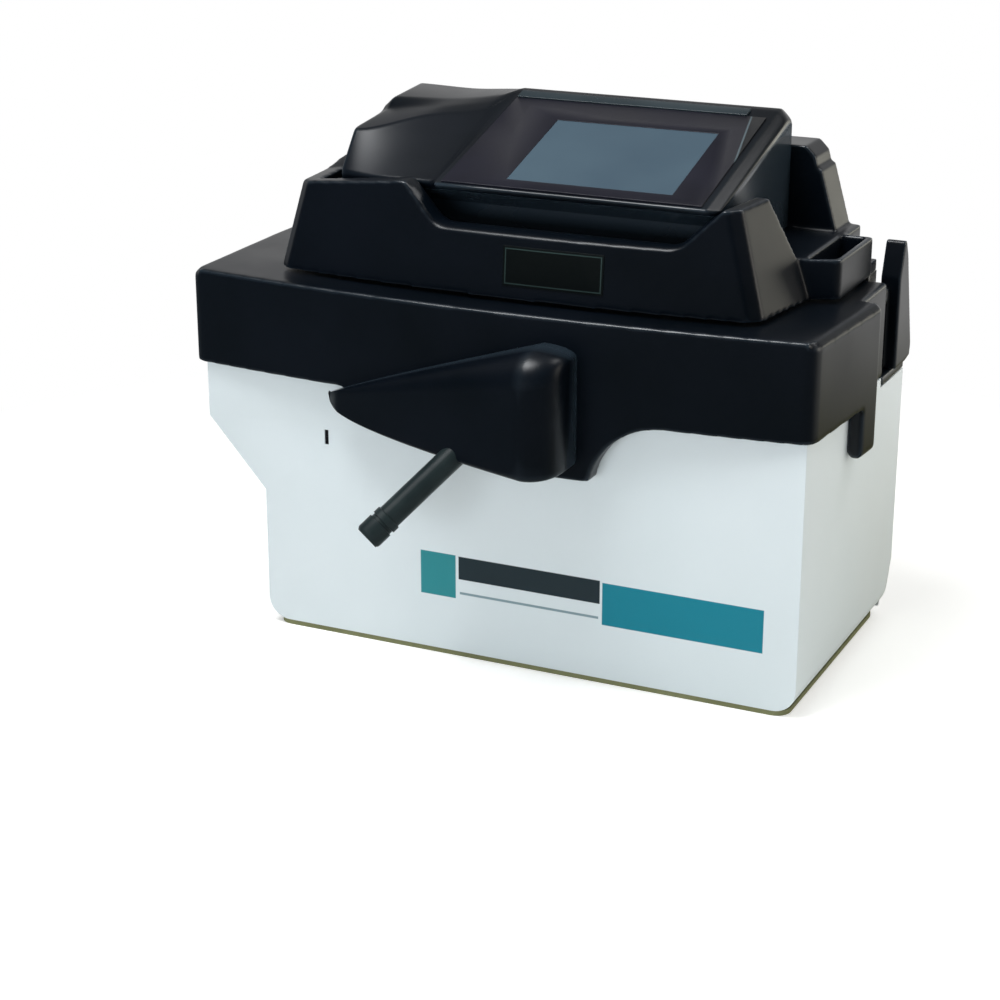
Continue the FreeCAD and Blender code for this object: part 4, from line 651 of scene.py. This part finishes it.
# Console: the same sections as its solid, with the stations joined by smooth curves and each section's
# corners rounded
console = {
    "front": 21, "depth": 166, "floor": 322, "rise": 94, "endRound": 1.5,
    "rounds": (0, 0, 2.5, 3.0, 3.5, 5.0, 5.0, 4.0, 0),
    "stations": (
        (-158, ((0.5, 0.56), (0.5, 0.6), (0.5, 0.64), (0.51, 0.7), (0.54, 0.76), (0.66, 0.79), (0.7, 0.84),
                (1, 0.87), (1, 0.56))),
        (-149, ((0.25, 0), (0.25, 0.26), (0.16, 0.34), (0.15, 0.45), (0.29, 0.76), (0.64, 0.83), (0.69, 0.91),
                (1, 0.955), (1, 0))),
        (-104.5, ((0.25, 0), (0.25, 0.26), (0.11, 0.39), (0.10, 0.46), (0.50, 0.85), (0.62, 0.89),
                  (0.73, 0.925), (1, 0.945), (1, 0))),
        (-65, ((0.25, 0), (0.25, 0.26), (0.09, 0.41), (0.085, 0.47), (0.66, 0.89), (0.74, 0.93), (0.82, 0.96),
               (1, 0.97), (1, 0))),
        (-55, ((0.25, 0), (0.25, 0.26), (0.01, 0.45), (0, 0.49), (0.92, 0.98), (0.94, 0.985), (0.96, 0.99),
               (1, 0.975), (1, 0))),
        (159, ((0.25, 0), (0.25, 0.26), (0.01, 0.45), (0, 0.49), (0.92, 0.98), (0.94, 0.985), (0.96, 0.99),
               (1, 0.975), (1, 0))),
        (163, ((0.25, 0), (0.25, 0.26), (0.03, 0.44), (0.02, 0.48), (0.91, 0.955), (0.94, 0.96), (0.96, 0.96),
               (1, 0.945), (1, 0))),
        (168, ((0.25, 0), (0.25, 0.26), (0.07, 0.455), (0.06, 0.475), (0.90, 0.90), (0.93, 0.905),
               (0.96, 0.90), (1, 0.885), (1, 0))),
    ),
}


def easedThrough(places, values, x):
    # a curve through the values that never overshoots them
    slopes = [(values[n + 1] - values[n]) / (places[n + 1] - places[n]) for n in range(len(values) - 1)]
    tangents = [slopes[0]]
    for before, after in zip(slopes, slopes[1:]):
        tangents.append(0 if before * after <= 0 else 2 * before * after / (before + after))
    tangents.append(slopes[-1])
    n = 0
    while n < len(slopes) - 1 and x > places[n + 1]:
        n += 1
    width = places[n + 1] - places[n]
    t = (x - places[n]) / width
    return (
        values[n] * (1 + 2 * t) * (1 - t) ** 2 + tangents[n] * width * t * (1 - t) ** 2
        + values[n + 1] * t * t * (3 - 2 * t) + tangents[n + 1] * width * t * t * (t - 1)
    )


def roundedOutline(corners, rounds, steps=4):
    # each corner is replaced by a short curve that leaves its two sides at the rounding's distance
    outline = []
    for n, corner in enumerate(corners):
        here, before, after = Vector(corner), Vector(corners[n - 1]), Vector(corners[(n + 1) % len(corners)])
        start = here + (before - here) * min(0.45, rounds[n] / max((before - here).length, 0.01))
        end = here + (after - here) * min(0.45, rounds[n] / max((after - here).length, 0.01))
        for step in range(steps + 1):
            t = step / steps
            outline.append(start * (1 - t) ** 2 + here * 2 * t * (1 - t) + end * t * t)
    return outline


stationPlaces = [row[0] for row in console["stations"]]
consoleRings = []
# Sections are close together where the shape bends and far apart along the straight panel.
consoleSpans = ((-158, -149, 8), (-149, -55, 47), (-55, 159, 6), (159, 168, 9))
consoleCuts = [low + (high - low) * n / count for low, high, count in consoleSpans for n in range(count)]
consoleCuts.append(stationPlaces[-1])
for x in consoleCuts:
    corners = []
    for n in range(len(console["rounds"])):
        depth, rise = (
            easedThrough(stationPlaces, [row[1][n][axis] for row in console["stations"]], x)
            for axis in (0, 1)
        )
        corners.append((
            console["front"] + console["depth"] * depth, console["floor"] + console["rise"] * rise,
        ))
    sunk = max(0.0, x - (stationPlaces[-1] - console["endRound"])) / console["endRound"]
    outline = roundedOutline(corners, console["rounds"])
    middle = sum(outline, Vector((0, 0))) / len(outline)
    inset = console["endRound"] * (1 - math.sqrt(1 - min(sunk, 1.0) ** 2))
    consoleRings.append([
        spot(x, *(point + (middle - point).normalized() * inset)) for point in outline
    ])
consoleHousing = skin("consoleHousing", consoleRings, "lid", "black_moulding", 42)
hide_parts("console_housing")
print("console made")

# Vent sleeve turned from one piece: a groove near its start and a rolled lip at its open end
vent = {"tilt": 50.6, "swing": 44, "depth": 38, "height": 190, "length": 104, "radius": 9.5, "bore": 7}
sleeve = {
    "start": 81, "outer": 10.7, "lip": 3.2, "groove": 6, "grooveWidth": 2.6, "grooveDepth": 1.4, "sides": 40,
}
swing, tilt = math.radians(vent["swing"]), math.radians(vent["tilt"])
ventSide = Vector((math.cos(swing), -math.sin(swing), 0))
ventWay = Vector((-math.sin(swing) * math.sin(tilt), -math.cos(swing) * math.sin(tilt), -math.cos(tilt)))


def turned(origin, way, across, profile, sides):
    # rings about an axis for a profile of (distance along it, radius)
    third = way.cross(across)
    return [[
        origin + way * along / 1000 + (
            across * math.cos(math.tau * n / sides) + third * math.sin(math.tau * n / sides)
        ) * radius / 1000 for n in range(sides)
    ] for along, radius in profile]


grooveLow = sleeve["start"] + sleeve["groove"]
grooveHigh = grooveLow + sleeve["grooveWidth"]
grooveFloor = sleeve["outer"] - sleeve["grooveDepth"]
sleeveProfile = [
    (sleeve["start"], vent["radius"] - 0.3), (sleeve["start"], sleeve["outer"] - 0.5),
    (sleeve["start"] + 0.5, sleeve["outer"]), (grooveLow - 0.3, sleeve["outer"]),
    (grooveLow, grooveFloor), (grooveHigh, grooveFloor), (grooveHigh + 0.3, sleeve["outer"]),
]
for step in range(7):
    turn = math.pi / 2 * step / 6
    sleeveProfile.append((
        vent["length"] - sleeve["lip"] * (1 - math.sin(turn)),
        sleeve["outer"] - sleeve["lip"] * (1 - math.cos(turn)),
    ))
sleeveProfile += [
    (vent["length"], vent["bore"] + 0.3), (vent["length"] - 0.3, vent["bore"]),
    (sleeve["start"] + 2, vent["bore"]),
]
ventRoot = spot(0, -vent["depth"], vent["height"])
sleeveRings = turned(ventRoot, ventWay, ventSide, sleeveProfile, sleeve["sides"])
ventSleeve = skin("ventSleeve", sleeveRings, "base", "vent_hose", 30)
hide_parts("vent_sleeve")
print("vent sleeve made")

# Dark olive strip that fills the gap under the housing's edge, swept round its outline: painted shade,
# standing in for the shadow in that gap.
gapStrip = {
    "left": -193, "right": 243, "front": 0.6, "back": 227, "corner": 12, "width": 4.2, "low": -3.9,
    "high": -0.1,
}
gapStripSection = (
    (0, gapStrip["low"]), (0, gapStrip["high"]), (gapStrip["width"], gapStrip["high"]), (gapStrip["width"], gapStrip["low"]),
)
gapStripMesh = bmesh.new()
gapStripRings = []
for cornerX, cornerY, startTurn in (
    (gapStrip["right"] - gapStrip["corner"], gapStrip["front"] + gapStrip["corner"], -90),
    (gapStrip["right"] - gapStrip["corner"], gapStrip["back"] - gapStrip["corner"], 0),
    (gapStrip["left"] + gapStrip["corner"], gapStrip["back"] - gapStrip["corner"], 90),
    (gapStrip["left"] + gapStrip["corner"], gapStrip["front"] + gapStrip["corner"], 180),
):
    for step in range(7):
        turn = math.radians(startTurn + 15 * step)
        ring = []
        for inset, z in gapStripSection:
            radius = gapStrip["corner"] - inset
            ring.append(gapStripMesh.verts.new(spot(
                cornerX + radius * math.cos(turn), cornerY + radius * math.sin(turn), z,
            )))
        gapStripRings.append(ring)
for n, ring in enumerate(gapStripRings):
    nextRing = gapStripRings[(n + 1) % len(gapStripRings)]
    for side in range(4):
        gapStripMesh.faces.new((ring[side], ring[(side + 1) % 4], nextRing[(side + 1) % 4], nextRing[side]))
bmesh.ops.recalc_face_normals(gapStripMesh, faces=gapStripMesh.faces)
baseSeal = newPiece("baseSeal", gapStripMesh, "base", "rubber_foot")
# The strip's dark olive colour is painted shade.
baseSeal.data.materials[0] = gapShadeFinish

# Domed caps on the hinge pins
hingeCap = {
    "start": 243.5, "radius": 6.6, "edge": 0.4, "rim": 1.6, "thickness": 3.4, "back": 200, "level": 272,
    "sides": 32,
}
capProfile = [
    (0, hingeCap["radius"] - hingeCap["edge"]), (hingeCap["edge"], hingeCap["radius"]),
    (hingeCap["rim"], hingeCap["radius"]),
]
for step in range(1, 6):
    turn = math.pi / 2 * step / 6
    capProfile.append((
        hingeCap["rim"] + (hingeCap["thickness"] - hingeCap["rim"]) * math.sin(turn),
        hingeCap["radius"] * math.cos(turn) ** 0.6,
    ))
for side, sideName in ((1, "Right"), (-1, "Left")):
    capRoot = spot(hingeCap["start"] * side, hingeCap["back"], hingeCap["level"])
    capRings = turned(capRoot, Vector((side, 0, 0)), Vector((0, 1, 0)), capProfile, hingeCap["sides"])
    skin("hingeCap" + sideName, capRings, "base", "black_moulding", 30)

# Cross-headed screws, each a small dome drawn about its own origin so that its recess is centred
screw = {"radius": 3.2, "rim": 0.5, "height": 1.8, "sides": 24}
screwRows = (
    ("rearPanelScrew", "base", "coated_steel", (0, 1, 0), (
        (-188, 244.25, 52), (20, 244.25, 52), (236, 244.25, 52), (-236, 244.25, 192), (20, 244.25, 192),
        (236, 244.25, 192),
    )),
    ("rearCoverScrew", "base", "coated_steel", (0, 0, 1), (
        (-140, 232, 211), (0, 232, 211), (140, 232, 211),
    )),
    ("hingeFootScrew", "base", "stainless_steel", (0, 0, 1), (
        (221, 221, 218), (221, 235, 218), (-221, 221, 218), (-221, 235, 218),
    )),
    ("coilPlateScrewRight", "lid", "stainless_steel", (1, 0, 0), ((76, 82, 254), (76, 138, 254))),
    ("coilPlateScrewLeft", "lid", "stainless_steel", (-1, 0, 0), ((-76, 82, 254), (-76, 138, 254))),
    ("basePlateScrew", "base", "coated_steel", (0, 0, -1), (
        (-180, 20, -1.5), (230, 20, -1.5), (-180, 208, -1.5), (230, 208, -1.5),
    )),
)
screwProfile = [(0, screw["radius"])]
for n in range(7):
    screwProfile.append((
        screw["rim"] + (screw["height"] - screw["rim"]) * math.sin(math.pi / 2 * n / 6),
        screw["radius"] * math.cos(math.pi / 2 * n / 7),
    ))
screwCount = 0
for name, body, slot, way, places in screwRows:
    for number, at in enumerate(places, 1):
        screwRings = turned(
            Vector((0, 0, 0)), Vector((0, 0, 1)), Vector((1, 0, 0)), screwProfile, screw["sides"],
        )
        piece = skin(f"{name}{number}", screwRings, body, slot, 30)
        piece.data.materials[0] = screwZinc
        piece.rotation_mode = "QUATERNION"
        piece.rotation_quaternion = Vector(way).to_track_quat("Z", "Y")
        piece.location = spot(*at)
        screwCount += 1
print("screws made:", screwCount)

# Floor, light and camera
floor = {
    "size": 8.0, "nearReach": 0.35, "farReach": 0.8, "backReach": 1.2, "dimReach": (1.76, 2.32),
    "leftReach": (-0.2, -0.7), "lift": 0.36, "dimFront": 0.17, "dimBack": 0.24,
}
bpy.ops.mesh.primitive_plane_add(size=floor["size"], location=(0, 0, 0))
floorPlane = bpy.context.object
floorPlane.name = "benchTop"
material, tree, shader, place = newMaterial("paleBench")
shader.inputs["Base Color"].default_value = linear("#f5f4f0")
shader.inputs["Roughness"].default_value = 0.75


def mixedShaders(tree, factor, first, second):
    # the first shader where the factor is 0, the second where it is 1
    return addNode(tree, "ShaderNodeMixShader", None, {0: factor, 1: first, 2: second}).outputs[0]


# The camera sees the bench turn white away from the mill. Reflections see that white behind the mill, an
# olive bench close to it, and dim bench in front of it, on its left and far behind it.
path = addNode(tree, "ShaderNodeLightPath")
mirrored = eitherOf(tree, path.outputs["Is Glossy Ray"], path.outputs["Is Transmission Ray"])
away = addNode(tree, "ShaderNodeVectorMath", None, {0: place}, operation="LENGTH").outputs["Value"]
far = ramp(tree, away, floor["nearReach"], floor["farReach"])
farBack = ramp(tree, away, floor["farReach"], floor["backReach"])
parts = addNode(tree, "ShaderNodeSeparateXYZ", None, {0: place}).outputs
toBack = ramp(tree, parts[1], -0.3, 0.3)
farthest = ramp(tree, away, *floor["dimReach"])
farthest = eitherOf(tree, farthest, ramp(tree, parts[0], *floor["leftReach"]))
white, dim, lifted, olive = (
    addNode(tree, "ShaderNodeEmission", {"Color": linear(colour), "Strength": strength}).outputs[0]
    for colour, strength in (
        ("#ffffff", 1.0), ("#dcebf8", floor["dimFront"]), ("#ffffff", floor["lift"]),
        ("#e6e2a4", floor["dimBack"]),
    )
)
near = addNode(tree, "ShaderNodeAddShader", None, {0: shader.outputs[0], 1: lifted}).outputs[0]
behind = mixedShaders(tree, farthest, mixedShaders(tree, farBack, olive, white), dim)
reflected = mixedShaders(tree, toBack, dim, behind)
seen = mixedShaders(tree, far, near, white)
whole = mixedShaders(tree, path.outputs["Is Camera Ray"], shader.outputs[0], seen)
whole = mixedShaders(tree, mirrored, whole, reflected)
tree.links.new(whole, tree.nodes["Material Output"].inputs["Surface"])
floorPlane.data.materials.append(material)

# The camera sees a white backdrop. Reflections see it as a low band behind the mill that fades to a dim
# ceiling, a dim front and dim sides.
room = {
    "sky": 0.34, "ceiling": 0.2, "front": 0.12, "right": 0.2, "left": 0.45, "lowRise": 0.15, "highRise": 0.5,
}
world = bpy.data.worlds.new("studio")
bpy.context.scene.world = world
world.use_nodes = True
tree = world.node_tree
tree.nodes.clear()
path = addNode(tree, "ShaderNodeLightPath")
way = addNode(tree, "ShaderNodeTexCoord").outputs["Generated"]
way = addNode(tree, "ShaderNodeSeparateXYZ", None, {0: way})
wall = ramp(tree, way.outputs[2], room["lowRise"], room["highRise"], 1.0, room["ceiling"])
toBack = ramp(tree, way.outputs[1], -0.15, 0.3, room["front"], 1.0)
toRight = ramp(tree, way.outputs[0], 0.1, 0.4, 1.0, room["right"])
glow = addNode(tree, "ShaderNodeMath", None, {0: wall, 1: toBack}, operation="MULTIPLY").outputs[0]
toLeft = ramp(tree, way.outputs[0], -0.45, -0.65, 1.0, room["left"])
for side in (toRight, toLeft):
    glow = addNode(tree, "ShaderNodeMath", None, {0: glow, 1: side}, operation="MULTIPLY").outputs[0]
sky = addNode(
    tree, "ShaderNodeBackground", {"Color": linear("#f2f5f8"), "Strength": room["sky"]},
).outputs[0]
backdrop = addNode(tree, "ShaderNodeBackground", {"Color": (1, 1, 1, 1), "Strength": 1.0}).outputs[0]
mirror = addNode(tree, "ShaderNodeBackground", {"Color": (1, 1, 1, 1)}, {"Strength": glow}).outputs[0]
mirrored = eitherOf(tree, path.outputs["Is Glossy Ray"], path.outputs["Is Transmission Ray"])
seen = mixedShaders(tree, path.outputs["Is Camera Ray"], sky, backdrop)
shown = mixedShaders(tree, mirrored, seen, mirror)
addNode(tree, "ShaderNodeOutputWorld", None, {"Surface": shown})

# Lamps: places and sizes in metres, powers in watts. The front softbox lights the white faces and is kept
# out of the reflections.
lamps = {
    "softboxKey": {"at": (-0.42, -0.6, 2.1), "size": (1.0, 0.85), "power": 34, "colour": "#fbfdff"},
    "softboxFront": {"at": (-0.2, -3.2, 0.4), "size": (2.2, 0.7), "power": 30, "colour": "#f0f7ff"},
    "softboxRight": {"at": (2.5, 1.0, 0.9), "size": (1.6, 1.4), "power": 18, "colour": "#fff8ec"},
    "softboxTop": {"at": (1.0, 0.8, 1.9), "size": (0.7, 0.7), "power": 9, "colour": "#ffffff"},
    "stripBack": {"at": (1.2, 2.0, 0.35), "size": (1.0, 0.5), "power": 2.6, "colour": "#fffbe8"},
}
for name, lamp in lamps.items():
    light = bpy.data.lights.new(name, "AREA")
    light.shape = "RECTANGLE"
    light.size, light.size_y = lamp["size"]
    light.energy = lamp["power"]
    light.color = linear(lamp["colour"])[:3]
    holder = bpy.data.objects.new(name, light)
    bpy.context.collection.objects.link(holder)
    holder.location = lamp["at"]
    holder.visible_glossy = name != "softboxFront"
    holder.rotation_mode = "QUATERNION"
    holder.rotation_quaternion = (Vector((0, 0, 0.2)) - Vector(lamp["at"])).to_track_quat("-Z", "Y")

# Camera at the photograph's angle, in degrees, millimetres and metres
cameraView = {
    "azimuth": 25.26, "elevation": 19.8, "lens": 83.4, "sensor": 36, "at": (0.7194, -1.5809, 0.7367),
}
camera = bpy.data.objects.new("camera", bpy.data.cameras.new("camera"))
bpy.context.collection.objects.link(camera)
turn, rise = math.radians(cameraView["azimuth"]), math.radians(cameraView["elevation"])
backward = Vector((math.sin(turn) * math.cos(rise), -math.cos(turn) * math.cos(rise), math.sin(rise)))
camera.location = cameraView["at"]
camera.rotation_mode = "QUATERNION"
camera.rotation_quaternion = (-backward).to_track_quat("-Z", "Y")
camera.data.lens = cameraView["lens"]
camera.data.sensor_width = cameraView["sensor"]
bpy.context.scene.camera = camera
bpy.context.scene.view_settings.view_transform = "Standard"
print("stage set")
